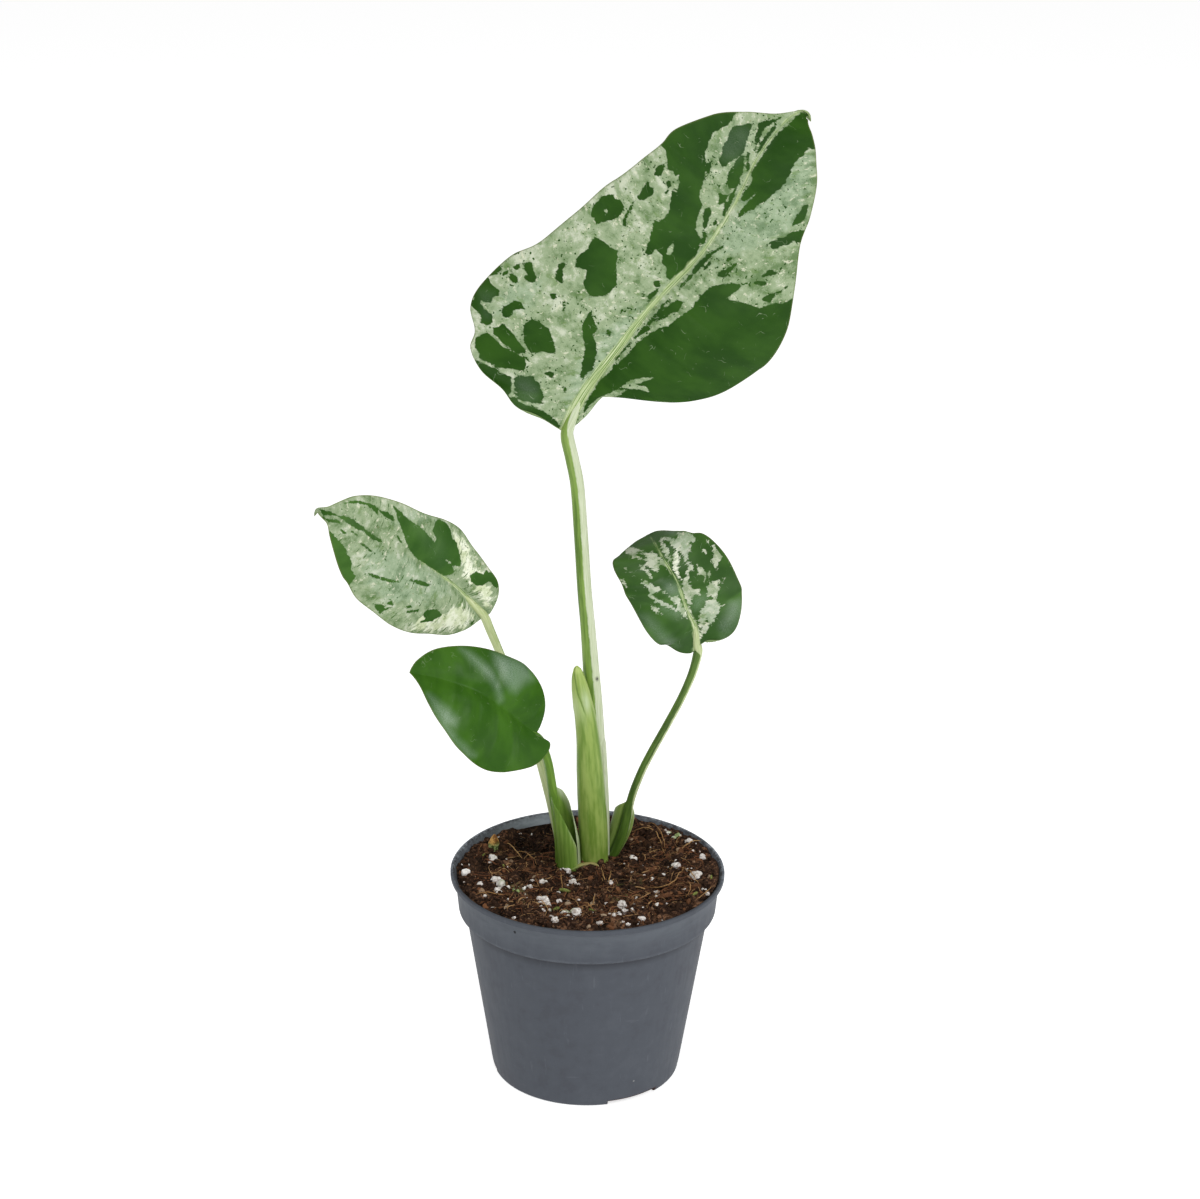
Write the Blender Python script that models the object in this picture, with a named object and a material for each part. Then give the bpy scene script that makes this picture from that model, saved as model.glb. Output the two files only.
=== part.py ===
"""A young variegated monstera in a 12 cm plastic nursery pot.

Four leaves on their petioles and one new leaf, still rolled up, rise from a short
stem that roots in the potting soil.

Frame: metres, +Z up. The origin is on the pot's axis, on the plane that the pot
stands on. The plant's front faces -Y and its right side is +X. The shapes below are
written in millimetres and become metres in mesh_object().
"""
import math

import bmesh
import bpy
import numpy as np

MM = 0.001
GAP = 0.35                    # clearance between pieces that touch

# Pot
POT_SEGMENTS = 48
POT_HEIGHT = 95.0
RIM_RADIUS = 60.0
RIM_BEAD = 2.4                # height of the thick lip
COLLAR_TOP = 57.9             # outer radius just under the lip
COLLAR_LOW = 56.5             # outer radius at the collar's lower edge
COLLAR_EDGE = 77.6            # height of the collar's lower edge
WALL_TOP = 53.4               # outer radius of the tapered wall under the collar
WALL_LOW = 42.0               # outer radius of the tapered wall at the base corner
BASE_CORNER = 4.5
WALL = 1.3
FLOOR = 2.2
SOFT_CORNER = ((4.5, 0.0), (2.3, 0.6), (0.7, 2.2))     # (inset, height) round the base corner
NOTCH_COUNT = 3
NOTCH_FIRST = -59.0           # direction of the first drain notch, degrees from +X
NOTCH_HALF = 17.0
NOTCH_DEPTH = 1.3
NOTCH_INNER = 22.0
HOLE_RADIUS = 3.0
HOLE_CIRCLES = ((31.0, 3, 0.0), (17.0, 6, 30.0))   # radius, count, turn from the notches

# Soil and what lies on it
SOIL_LEVEL = 90.4
SOIL_HEAP = (0.9, 30.0)       # height and reach of the rise round the stem
SOIL_HOLLOW = (-26.0, 32.0, 2.8, 12.6)    # x, y, depth and reach of the dip at the back left
SOIL_TILT = 0.018             # rise to the right
SOIL_RIPPLE = (0.35, 0.21, 0.17)          # height, and waves a millimetre along x and y
SOIL_RINGS = (49.0, 42.0, 35.0, 28.0, 21.0, 14.0, 7.0)
CROWN_CENTRE = (0.5, 15.8)
CROWN_HALF = (19.0, 10.0)
CROWN_TOP = 89.6
CROWN_BED = 3.0               # ring round the crown in which the soil levels out
CROWN_LEVELS = ((CROWN_TOP, 0.97), (CROWN_TOP - 1.5, 1.0), (84.0, 0.97), (78.0, 0.78),
                (73.0, 0.50), (70.0, 0.22))        # height, share of the full oval

# Roots inside the soil
ROOT_COUNT = 6
ROOT_TURN = 0.35              # direction of the first root, radians
ROOT_HEIGHTS = (79.0, 72.0, 58.0)
ROOT_REACH = (27.0, 5.0)      # mean and spread of how far a root goes out
ROOT_END = (26.0, 9.0)        # mean and spread of the height of its end
ROOT_RADII = (1.9, 0.9)
TUBE_FACING = (0.31, -0.94, 0.12)         # where a round tube's first side points

# Leaves: (x, y, z) of the midrib from the blade's base to its tip, the way the blade
# faces at both ends, and the flattened blade's margins as (across, along) the midrib.
# lift is the slope at which a side leaves the midrib, and bend how fast its veins
# turn down, both listed from base to tip. wave is the height, the number and the
# start of a side's slow ripples.
BLADE = 0.8
LEAVES = {
    "tall_leaf": {
        "midrib": ((-11, 15, 291), (-4, 18, 306), (8, 20, 323), (24, 25, 344), (44, 32, 365),
                   (57, 40, 384), (67, 48, 402), (78, 55, 415), (85, 60, 419), (89, 61, 418),
                   (90, 58, 415)),
        "face": (0.10, -0.90, 0.42),
        "face_tip": (0.02, -0.80, 0.60),
        "left": ((6, 1), (15, 2.5), (24, 2), (32, 4.5), (42, 3), (50, 5.5), (52.5, 11.5),
                 (60, 18), (62.5, 28.5), (59.5, 45), (53, 55.5), (49.5, 71), (48, 90),
                 (42.5, 113), (38, 125.5), (35, 136.5), (25, 146.5), (14.5, 153.5),
                 (3.5, 161.5), (-0.5, 171.5)),
        "right": ((5, 10), (7.5, 19), (11.5, 27), (20, 31), (32, 38), (46, 50), (52.5, 65),
                  (54, 82), (50, 96.5), (41.5, 107), (34, 119), (31.5, 131.5), (27.5, 144.5),
                  (18.5, 158.5), (7, 168.5)),
        "lift": {"left": (0.15, 0.22, 0.18, 0.15, 0.10), "right": (0.10, 0.20, 0.20, 0.15, 0.05)},
        "bend": {"left": (0.004, 0.006, 0.004, 0.006, 0.006),
                 "right": (0.022, 0.017, 0.015, 0.016, 0.016)},
        "wave": {"left": (2.2, 9.0, 0.6), "right": (1.2, 8.0, 0.0)},
    },
    "left_leaf": {
        "midrib": ((-46, 20, 206), (-58, 16, 221), (-73, 10, 235), (-89, 4, 249),
                   (-103, 0, 260), (-111, -1, 262), (-115, -2, 262), (-116, -3, 259)),
        "face": (-0.15, -0.75, 0.65),
        "face_tip": (-0.30, -0.75, 0.55),
        "left": ((4.5, 0.5), (12, 3), (19.5, 9), (27.5, 24.5), (30.5, 37), (30, 47.5),
                 (29, 58), (25.5, 65), (23.5, 69.5), (17, 77.5), (9.5, 86.5), (4.5, 91.5)),
        "right": ((2.5, -1.5), (10, 1.5), (14.5, 6.5), (16, 14.5), (18.5, 23), (22, 30.5),
                  (21.5, 38.5), (18, 50), (16, 62), (12.5, 73.5), (8, 81), (3, 85.5), (0.5, 90)),
        "lift": {"left": (0.25, 0.25, 0.15), "right": (0.20, 0.20, 0.10)},
        "bend": {"left": (0.012, 0.012, 0.012), "right": (0.028, 0.026, 0.012)},
        "wave": {"left": (0.8, 14.0, 0.5), "right": (0.6, 12.0, 1.0)},
    },
    "front_leaf": {
        "midrib": ((-23, -2, 160), (-34, -8, 173), (-46, -13, 184), (-61, -16, 191),
                   (-76, -16, 194)),
        "face": (-0.25, -0.65, 0.72),
        "face_tip": (-0.35, -0.65, 0.66),
        "left": ((-0.5, -4), (-1, -8.5), (4, -10), (13, -6.5), (24, 7), (28, 19.5),
                 (27.5, 37.5), (21, 49), (13.5, 56.5), (5.5, 62), (1.5, 65.5)),
        "right": ((4.5, 0.5), (12.5, 4), (18.5, 10.5), (22, 20), (20.5, 31), (19, 41),
                  (16, 50.5), (11.5, 59.5), (6, 65), (2, 67)),
        "lift": {"left": (0.20, 0.25, 0.20), "right": (0.20, 0.20, 0.20)},
        "bend": {"left": (0.012, 0.018, 0.015), "right": (0.030, 0.030, 0.015)},
        "wave": {"left": (0.0, 1.0, 0.0), "right": (0.0, 1.0, 0.0)},
    },
    "right_leaf": {
        "midrib": ((46, 10, 196), (45, 11, 205), (41, 14, 213), (37, 19, 223), (31, 27, 231),
                   (28, 33, 234), (25, 47, 234)),
        "face": (-0.25, -0.80, 0.55),
        "face_tip": (-0.20, -0.45, 0.87),
        "left": ((3.5, -2.5), (10, -1), (17, 8), (20.5, 18.5), (23, 31.5), (21.5, 42.5),
                 (20.5, 52.5), (15, 57), (7, 61.5), (3, 63)),
        "right": ((2, 2), (5.5, 4), (11.5, 4), (17.5, 5), (23, 10), (25.5, 18), (25, 26),
                  (23.5, 35.5), (20.5, 44), (14.5, 49), (5.5, 62.5)),
        "lift": {"left": (0.15, 0.15, 0.15), "right": (0.15, 0.15, 0.15)},
        "bend": {"left": (0.020, 0.020, 0.020), "right": (0.020, 0.020, 0.020)},
        "wave": {"left": (0.0, 1.0, 0.0), "right": (0.0, 1.0, 0.0)},
    },
}
VEIN_LAG = 1.25               # how far a vein's root trails the margin that it feeds
VEIN_BOW = 0.10
BLADE_ROWS = 18
BLADE_COLUMNS = (0.0, 0.1, 0.4, 0.7, 1.0)    # shares of a vein's length
KEEL = 1.8                    # how far the midrib stands out under the blade's base

# Petioles: the path of the rib from the stem to the blade, and along it the rib's
# radius, the reach of each wing of the sheath (degrees round the curl) and the radius
# to which the wings curl. opens is the way the sheath opens.
SKIN = 0.8                    # thickness of a sheath's wing
PETIOLE_STATIONS = 22
PETIOLES = {
    "tall_petiole": {
        "path": ((5.1, 19.5, 90.6), (4.5, 19.1, 106), (3.7, 18.5, 124), (2.5, 17.7, 144),
                 (1.3, 17.3, 163), (0.2, 16.7, 185), (-1.1, 16, 204), (-2.6, 15.8, 220),
                 (-4.3, 15.5, 245), (-6, 15.2, 267), (-8.2, 15, 279), (-10.5, 15, 289.6)),
        "opens": (-0.32, -0.95, 0.0),
        "radius": ((90, 3.4), (150, 3.5), (185, 3.5), (220, 3.1), (291, 2.9)),
        "curl": ((90, 6.3), (110, 6.5), (140, 6.5), (165, 6.5), (291, 6.0)),
        "left_wing": ((90, 96), (130, 92), (158, 52), (175, 0), (291, 0)),
        "right_wing": ((90, 96), (130, 92), (158, 58), (178, 0), (291, 0)),
        "hollow": ((90, 1.0), (145, 1.0), (180, 0.2), (200, 0.0), (291, 0.0)),
    },
    "left_petiole": {
        "path": ((-14.6, 17.2, 90.6), (-16, 17.6, 103), (-18.2, 18.4, 119), (-21.4, 19.3, 136),
                 (-25.8, 20, 153), (-31.6, 20.5, 169), (-38.5, 20.5, 187),
                 (-43.2, 20.3, 199), (-45.4, 20, 204.8)),
        "opens": (-0.60, -0.80, 0.0),
        "radius": ((90, 2.3), (120, 1.8), (190, 1.8), (205, 2.0)),
        "curl": ((90, 6.0), (205, 6.0)),
        "left_wing": ((90, 0), (205, 0)),
        "right_wing": ((90, 0), (205, 0)),
        "hollow": ((90, 0.0), (205, 0.0)),
    },
    "front_petiole": {
        "path": ((-11.5, 11.9, 90.6), (-12.3, 10.2, 105), (-14, 8.2, 118.6), (-15.6, 6.2, 130),
                 (-17.4, 4, 143), (-19.4, 2.4, 151), (-21.4, 1.4, 156.6)),
        "opens": (0.80, -0.60, 0.0),
        "radius": ((90, 2.6), (118, 2.1), (143, 1.9), (159, 1.8)),
        "curl": ((90, 4.3), (105, 4.4), (120, 3.8), (159, 3.8)),
        "left_wing": ((90, 172), (97, 168), (103, 130), (110, 80), (118, 0), (159, 0)),
        "right_wing": ((90, 172), (105, 165), (115, 130), (122, 75), (128, 0), (159, 0)),
        "hollow": ((90, 0.9), (118, 0.7), (128, 0.0), (159, 0.0)),
    },
    "right_petiole": {
        "path": ((13.4, 19.6, 90.6), (16.2, 18.6, 104), (19, 17.4, 120), (21.9, 16.6, 131),
                 (26.3, 15.6, 142), (33.8, 14, 158), (39.6, 12.5, 171), (44.2, 11.3, 183.5),
                 (46.4, 11.2, 193.4)),
        "opens": (-0.75, -0.65, 0.0),
        "radius": ((90, 1.9), (104, 2.1), (120, 1.8), (175, 1.7), (195, 2.1)),
        "curl": ((90, 2.6), (104, 3.6), (120, 3.4), (195, 3.4)),
        "left_wing": ((90, 60), (95, 115), (104, 150), (112, 115), (120, 0), (195, 0)),
        "right_wing": ((90, 60), (95, 115), (104, 150), (112, 115), (120, 0), (195, 0)),
        "hollow": ((90, 0.6), (104, 0.8), (116, 0.5), (124, 0.0), (195, 0.0)),
    },
}

# New leaf, still rolled: its axis as (x, y, z) and its radius at each height
SPEAR_AXIS = ((3, 13.5, 90.6), (1.9, 12.5, 117), (0.6, 11.5, 137), (-0.4, 11, 151.6),
              (-2.1, 10.8, 165.5), (-3.7, 10.8, 175.3), (-4.9, 10.8, 182.4), (-5.5, 10.8, 186.6))
SPEAR_RADIUS = ((90, 5.3), (104, 5.5), (137, 5.5), (151.6, 4.95), (165.5, 4.5), (175.3, 3.7),
                (182.4, 2.6), (186.6, 1.0))
SPEAR_STATIONS = 14
SPEAR_SIDES = 14

# Old sheath lying on the soil in front of the stem
STRIP_PATH = ((-7.2, 5.0), (-3.0, 4.6), (1.5, 6.4), (4.8, 7.6))
STRIP_RADIUS = 1.0
STRIP_TAPER = (0.4, 0.8, 1, 1, 1, 1, 1, 0.9, 0.7, 0.3)

# Perlite: (x, y, size) of the largest grains on the soil
GRAIN_SHAPE = (1.0, 0.9, 0.75)
PERLITE = (
    (22.5, 16, 4.4), (42, 13, 3.6), (50.5, 8.5, 4.2), (47.5, 28, 3.4), (35.5, -8, 3.6),
    (17, -11, 3.6), (15.5, -15.5, 4.4), (26, -17.5, 3.0), (-9, 0, 3.4), (-18.5, -8.5, 4.6),
    (-9, -14, 4.2), (-3.5, -15.5, 3.8), (-13, -18.5, 3.8), (-37.5, -3, 4.6), (-36.5, -8, 3.8),
    (-45.5, -3.5, 3.0), (-53, 6, 3.4), (-28.5, -3.5, 3.0), (-26, 36, 3.2), (30, 40, 3.2),
)

# Coir chips: (x, y, turn in degrees, length)
CHIP_SHAPE = (0.5, 0.2)       # half length and half width, as shares of the length
CHIP_HALF_THICK = 0.6
CHIPS = (
    (34, -22, 20, 7), (-31, -22, 130, 6), (-44, 22, 80, 6), (26, 6, 150, 9), (1, -28, 10, 7),
    (20, 34, 5, 7),
)

COLOURS = {
    "pot": ((0.095, 0.10, 0.125), 0.55),
    "potting_soil": ((0.055, 0.026, 0.014), 0.95),
    "stem": ((0.16, 0.15, 0.05), 0.70),
    "leaf": ((0.035, 0.12, 0.02), 0.35),
    "petiole": ((0.20, 0.33, 0.07), 0.45),
    "new_leaf": ((0.30, 0.45, 0.12), 0.45),
    "old_sheath": ((0.35, 0.30, 0.12), 0.60),
    "perlite": ((0.80, 0.78, 0.74), 0.90),
    "coir": ((0.20, 0.085, 0.035), 0.90),
}


# ---------------------------------------------------------------- helpers

def material(name):
    """One Principled material for each finish in COLOURS."""
    if name in bpy.data.materials:
        return bpy.data.materials[name]
    colour, roughness = COLOURS[name]
    mat = bpy.data.materials.new(name)
    mat.use_nodes = True
    shader = mat.node_tree.nodes["Principled BSDF"]
    shader.inputs["Base Color"].default_value = (*colour, 1.0)
    shader.inputs["Roughness"].default_value = roughness
    shader.inputs["Metallic"].default_value = 0.0
    return mat


def mesh_object(name, verts, faces, finish, smooth=True):
    """A closed mesh from points in millimetres, with its faces turned outwards."""
    mesh = bpy.data.meshes.new(name)
    mesh.from_pydata([tuple(float(c) * MM for c in v) for v in verts], [], faces)
    work = bmesh.new()
    work.from_mesh(mesh)
    bmesh.ops.recalc_face_normals(work, faces=work.faces)
    work.to_mesh(mesh)
    work.free()
    if smooth:
        mesh.shade_smooth()
        mesh.set_sharp_from_angle(angle=math.radians(50))
    mesh.materials.append(material(finish))
    obj = bpy.data.objects.new(name, mesh)
    bpy.context.scene.collection.objects.link(obj)
    return obj


def guide(obj):
    """Marks a shape that only cuts or adds to another one."""
    obj.hide_render = True
    obj.display_type = 'WIRE'
    return obj


def boolean(obj, other, operation):
    """Cuts other from obj, or adds it, with the exact solver."""
    step = obj.modifiers.new(operation.lower(), 'BOOLEAN')
    step.operation = operation
    step.solver = 'EXACT'
    step.object = other


def unit(v):
    v = np.asarray(v, float)
    return v / np.maximum(np.linalg.norm(v, axis=-1, keepdims=True), 1e-9)


def smooth_curve(points, count):
    """count evenly spaced points on a smooth curve through points."""
    p = np.asarray(points, float)
    p = np.vstack([2 * p[0] - p[1], p, 2 * p[-1] - p[-2]])
    u = np.linspace(0, 1, 40, endpoint=False)[:, None]
    fine = []
    for a, b, c, d in zip(p, p[1:], p[2:], p[3:]):
        fine.append(0.5 * (2 * b + (c - a) * u + (2 * a - 5 * b + 4 * c - d) * u**2
                           + (3 * b - a - 3 * c + d) * u**3))
    fine = np.vstack(fine + [p[-2:-1]])
    run = arc_length(fine)
    at = np.linspace(0, run[-1], count)
    return np.stack([np.interp(at, run, column) for column in fine.T], -1)


def arc_length(points):
    return np.concatenate([[0], np.cumsum(np.linalg.norm(np.diff(points, axis=0), axis=1))])


def by_height(table, z):
    """Value at height z from a table of (height, value)."""
    heights, values = zip(*table)
    return float(np.interp(z, heights, values))


def stepped(values, t):
    """Smooth blend through values, spread evenly over t = 0 to 1."""
    values = np.asarray(values, float)
    x = np.clip(t, 0, 1) * (len(values) - 1)
    i = np.minimum(x.astype(int), len(values) - 2)
    f = x - i
    f = f * f * (3 - 2 * f)
    return values[i] * (1 - f) + values[i + 1] * f


def loft(rings):
    """Points and faces of a solid skinned over rings of equal count, with flat ends."""
    n, k = len(rings), len(rings[0])
    verts = np.vstack(rings)
    faces = [(i * k + j, i * k + (j + 1) % k, (i + 1) * k + (j + 1) % k, (i + 1) * k + j)
             for i in range(n - 1) for j in range(k)]
    faces.append(tuple(range(k)))
    faces.append(tuple((n - 1) * k + j for j in reversed(range(k))))
    return verts, faces


def frames_along(path, forward):
    """Tangent, sideways and forward directions at each point of a path."""
    tangent = unit(np.gradient(path, axis=0))
    ahead = unit(forward - (tangent @ np.asarray(forward, float))[:, None] * tangent)
    return tangent, np.cross(tangent, ahead), ahead


def tube(path, radii, sides):
    """Rings of a round tube along path."""
    _, across, ahead = frames_along(path, TUBE_FACING)
    turn = np.linspace(0, 2 * math.pi, sides, endpoint=False)
    return [p + r * (np.outer(np.cos(turn), a) + np.outer(np.sin(turn), f))
            for p, r, a, f in zip(path, radii, across, ahead)]


def lathe(profile, segments):
    """A solid turned about Z from an (r, z) profile that starts and ends on the axis."""
    turn = np.linspace(0, 2 * math.pi, segments, endpoint=False)
    verts = [(0, 0, profile[0][1])]
    for r, z in profile[1:-1]:
        verts += [(r * math.cos(a), r * math.sin(a), z) for a in turn]
    verts.append((0, 0, profile[-1][1]))
    rows = len(profile) - 2
    faces = []
    for j in range(segments):
        k = (j + 1) % segments
        faces.append((0, 1 + k, 1 + j))
        for i in range(rows - 1):
            low, high = 1 + i * segments, 1 + (i + 1) * segments
            faces.append((low + j, low + k, high + k, high + j))
        last = 1 + (rows - 1) * segments
        faces.append((last + j, last + k, len(verts) - 1))
    return verts, faces


# ---------------------------------------------------------------- pot and soil

def inner_radius(z):
    """Radius of the pot's inside at height z."""
    heights = (FLOOR, BASE_CORNER, COLLAR_EDGE - 1.2, COLLAR_EDGE + 2, POT_HEIGHT - RIM_BEAD)
    radii = (WALL_LOW - WALL - 2.2, WALL_LOW - WALL, WALL_TOP - WALL, COLLAR_LOW - WALL,
             COLLAR_TOP - WALL)
    return np.interp(z, heights, radii)


def pot():
    bead = POT_HEIGHT - RIM_BEAD
    outside = [(0, 0), *((WALL_LOW - inset, z) for inset, z in SOFT_CORNER),
               (WALL_LOW, BASE_CORNER), (WALL_TOP, COLLAR_EDGE - 0.6),
               (COLLAR_LOW - 0.5, COLLAR_EDGE), (COLLAR_LOW, COLLAR_EDGE + 0.8),
               (COLLAR_TOP, bead - 0.4)]
    lip = [(RIM_RADIUS - 0.5, bead), (RIM_RADIUS, bead + 0.8), (RIM_RADIUS, POT_HEIGHT - 0.8),
           (RIM_RADIUS - 0.7, POT_HEIGHT), (RIM_RADIUS - 1.9, POT_HEIGHT),
           (RIM_RADIUS - 2.6, POT_HEIGHT - 0.8)]
    inside = [(inner_radius(z), z) for z in (bead - 0.8, COLLAR_EDGE + 2, COLLAR_EDGE - 1.2,
                                             BASE_CORNER, FLOOR)]
    obj = mesh_object("pot", *lathe(outside + lip + inside + [(0, FLOOR)], POT_SEGMENTS), "pot")
    boolean(obj, drain_notches(), 'DIFFERENCE')
    boolean(obj, drain_holes(), 'DIFFERENCE')


def drain_notches():
    """Shallow wedges under the base that let water run out to the side."""
    verts, faces = [], []
    spread = np.radians(np.linspace(-NOTCH_HALF, NOTCH_HALF, 6))
    for i in range(NOTCH_COUNT):
        middle = math.radians(NOTCH_FIRST + 360.0 / NOTCH_COUNT * i)
        edge = ([(NOTCH_INNER, a) for a in spread] + [(RIM_RADIUS, a) for a in reversed(spread)])
        rings = [[(r * math.cos(middle + a), r * math.sin(middle + a), z) for r, a in edge]
                 for z in (-2.0, NOTCH_DEPTH)]
        v, f = loft(rings)
        faces += [tuple(len(verts) + k for k in face) for face in f]
        verts += [tuple(p) for p in v]
    return guide(mesh_object("drain_notch_cutter", verts, faces, "pot"))


def drain_holes():
    verts, faces = [], []
    turn = np.linspace(0, 2 * math.pi, 10, endpoint=False)
    for circle, count, offset in HOLE_CIRCLES:
        for i in range(count):
            a = math.radians(NOTCH_FIRST + offset + 360.0 / count * i)
            x, y = circle * math.cos(a), circle * math.sin(a)
            rings = [[(x + HOLE_RADIUS * math.cos(t), y + HOLE_RADIUS * math.sin(t), z)
                      for t in turn] for z in (-1.0, FLOOR + 1.0)]
            v, f = loft(rings)
            faces += [tuple(len(verts) + k for k in face) for face in f]
            verts += [tuple(p) for p in v]
    return guide(mesh_object("drain_hole_cutter", verts, faces, "pot"))


def soil_height(x, y):
    """Top of the soil: heaped up round the stem, with a hollow at the back left."""
    heap, heap_reach = SOIL_HEAP
    dip_x, dip_y, dip, dip_reach = SOIL_HOLLOW
    ripple, waves_x, waves_y = SOIL_RIPPLE
    from_crown = np.hypot(x - CROWN_CENTRE[0], y - CROWN_CENTRE[1])
    from_dip = np.hypot(x - dip_x, y - dip_y)
    height = SOIL_LEVEL + heap * np.exp(-(from_crown / heap_reach)**2)
    height = height - dip * np.exp(-(from_dip / dip_reach)**2)
    height = height + SOIL_TILT * x + ripple * np.sin(waves_x * x + 1.3) * np.cos(waves_y * y - 0.6)
    bed = np.hypot((x - CROWN_CENTRE[0]) / (CROWN_HALF[0] + CROWN_BED),
                   (y - CROWN_CENTRE[1]) / (CROWN_HALF[1] + CROWN_BED))
    blend = np.clip((bed - 1.0) / 0.35, 0, 1)
    floor = CROWN_TOP - GAP
    return floor + (height - floor) * blend


def potting_soil():
    turn = np.linspace(0, 2 * math.pi, POT_SEGMENTS, endpoint=False)
    rings = []
    for z in (FLOOR + GAP, BASE_CORNER + GAP, COLLAR_EDGE - 1.2, COLLAR_EDGE + 2.4):
        r = inner_radius(z) - GAP - 0.1
        rings.append([(r * math.cos(a), r * math.sin(a), z) for a in turn])
    edge = inner_radius(SOIL_LEVEL - 1) - GAP - 0.1
    for r in (edge, *SOIL_RINGS):
        rings.append([(r * math.cos(a), r * math.sin(a),
                       float(soil_height(r * math.cos(a), r * math.sin(a)))) for a in turn])
    verts, faces = loft(rings)
    obj = mesh_object("potting_soil", verts, faces, "potting_soil")
    boolean(obj, stem_body("stem_pocket_cutter", GAP, 8.0), 'DIFFERENCE')
    boolean(obj, roots("root_pocket_cutter", GAP), 'DIFFERENCE')


def stem_body(name, swell, rise):
    """The short stem as stacked ovals, swollen on all sides and raised at the top."""
    turn = np.linspace(0, 2 * math.pi, 24, endpoint=False)
    rings = []
    for i, (z, share) in enumerate(CROWN_LEVELS):
        z = z + rise if i == 0 else z
        z = z - swell if i > 2 else z
        rings.append([(CROWN_CENTRE[0] + (CROWN_HALF[0] * share + swell) * math.cos(a),
                       CROWN_CENTRE[1] + (CROWN_HALF[1] * share + swell) * math.sin(a),
                       z) for a in turn])
    return guide(mesh_object(name, *loft(rings), "stem"))


def roots(name, swell):
    """Main roots that bend down and out from the stem, as separate tubes."""
    verts, faces = [], []
    top, shoulder, bend_height = ROOT_HEIGHTS
    for i in range(ROOT_COUNT):
        a = 2 * math.pi * i / ROOT_COUNT + ROOT_TURN
        reach = ROOT_REACH[0] + ROOT_REACH[1] * math.sin(2.1 * i)
        end = ROOT_END[0] + ROOT_END[1] * math.cos(1.7 * i)
        way = np.array((math.cos(a), math.sin(a)))
        start = np.array(CROWN_CENTRE) + way * np.array(CROWN_HALF) * 0.30
        stop = way * reach
        path = smooth_curve(((*start, top), (*(0.85 * start + 0.15 * stop), shoulder),
                             (*(0.62 * start + 0.38 * stop), bend_height), (*stop, end)), 8)
        if swell:
            path[-1] += unit(path[-1] - path[-2]) * swell
        v, f = loft(tube(path, np.linspace(*ROOT_RADII, 8) + swell, 6))
        faces += [tuple(len(verts) + k for k in face) for face in f]
        verts += [tuple(p) for p in v]
    return guide(mesh_object(name, verts, faces, "stem"))


def root_crown():
    obj = stem_body("root_crown", 0.0, 0.0)
    obj.hide_render = False
    obj.display_type = 'TEXTURED'
    boolean(obj, roots("root_guide", 0.0), 'UNION')


def lumps(name, finish, places, shape):
    """Small separate solids on the soil, one object for each place."""
    for i, place in enumerate(places):
        mesh_object(f"{name}_{i:02d}", *shape(i, *place), finish, smooth=False)


def lump_on_soil(points, x, y):
    """Lifts a small solid's points until it rests on the soil at (x, y)."""
    points = points + (x, y, 0)
    clear = points[:, 2] - soil_height(points[:, 0], points[:, 1])
    points[:, 2] += GAP - clear.min()
    return points


def perlite_grain(index, x, y, size):
    rng = np.random.default_rng(100 + index)
    work = bmesh.new()
    bmesh.ops.create_icosphere(work, subdivisions=1, radius=0.5)
    points = np.array([v.co for v in work.verts]) * size
    faces = [tuple(v.index for v in face.verts) for face in work.faces]
    work.free()
    points = points * rng.uniform(0.82, 1.12, (len(points), 1)) * GRAIN_SHAPE
    return lump_on_soil(points, x, y), faces


def coir_chip(index, x, y, turn, length):
    rng = np.random.default_rng(300 + index)
    half = np.array((length * CHIP_SHAPE[0], length * CHIP_SHAPE[1], CHIP_HALF_THICK))
    corners = np.array([(i, j, k) for k in (-1, 1) for i, j in ((-1, -1), (1, -1), (1, 1), (-1, 1))])
    points = corners * half * rng.uniform(0.75, 1.1, (8, 3))
    a = math.radians(turn)
    spin = np.array(((math.cos(a), -math.sin(a), 0), (math.sin(a), math.cos(a), 0), (0, 0, 1)))
    faces = [(0, 1, 2, 3), (4, 5, 6, 7), (0, 1, 5, 4), (1, 2, 6, 5), (2, 3, 7, 6), (3, 0, 4, 7)]
    triangles = [t for a, b, c, d in faces for t in ((a, b, c), (a, c, d))]
    return lump_on_soil(points @ spin.T, x, y), triangles


def old_sheath():
    flat = smooth_curve([(x, y, 0) for x, y in STRIP_PATH], len(STRIP_TAPER))
    ground = [max(soil_height(x, y), CROWN_TOP) for x, y, _ in flat]
    flat[:, 2] = np.array(ground) + STRIP_RADIUS + GAP + 0.2
    mesh_object("old_sheath", *loft(tube(flat, STRIP_RADIUS * np.array(STRIP_TAPER), 8)), "old_sheath")


# ---------------------------------------------------------------- leaves

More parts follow.
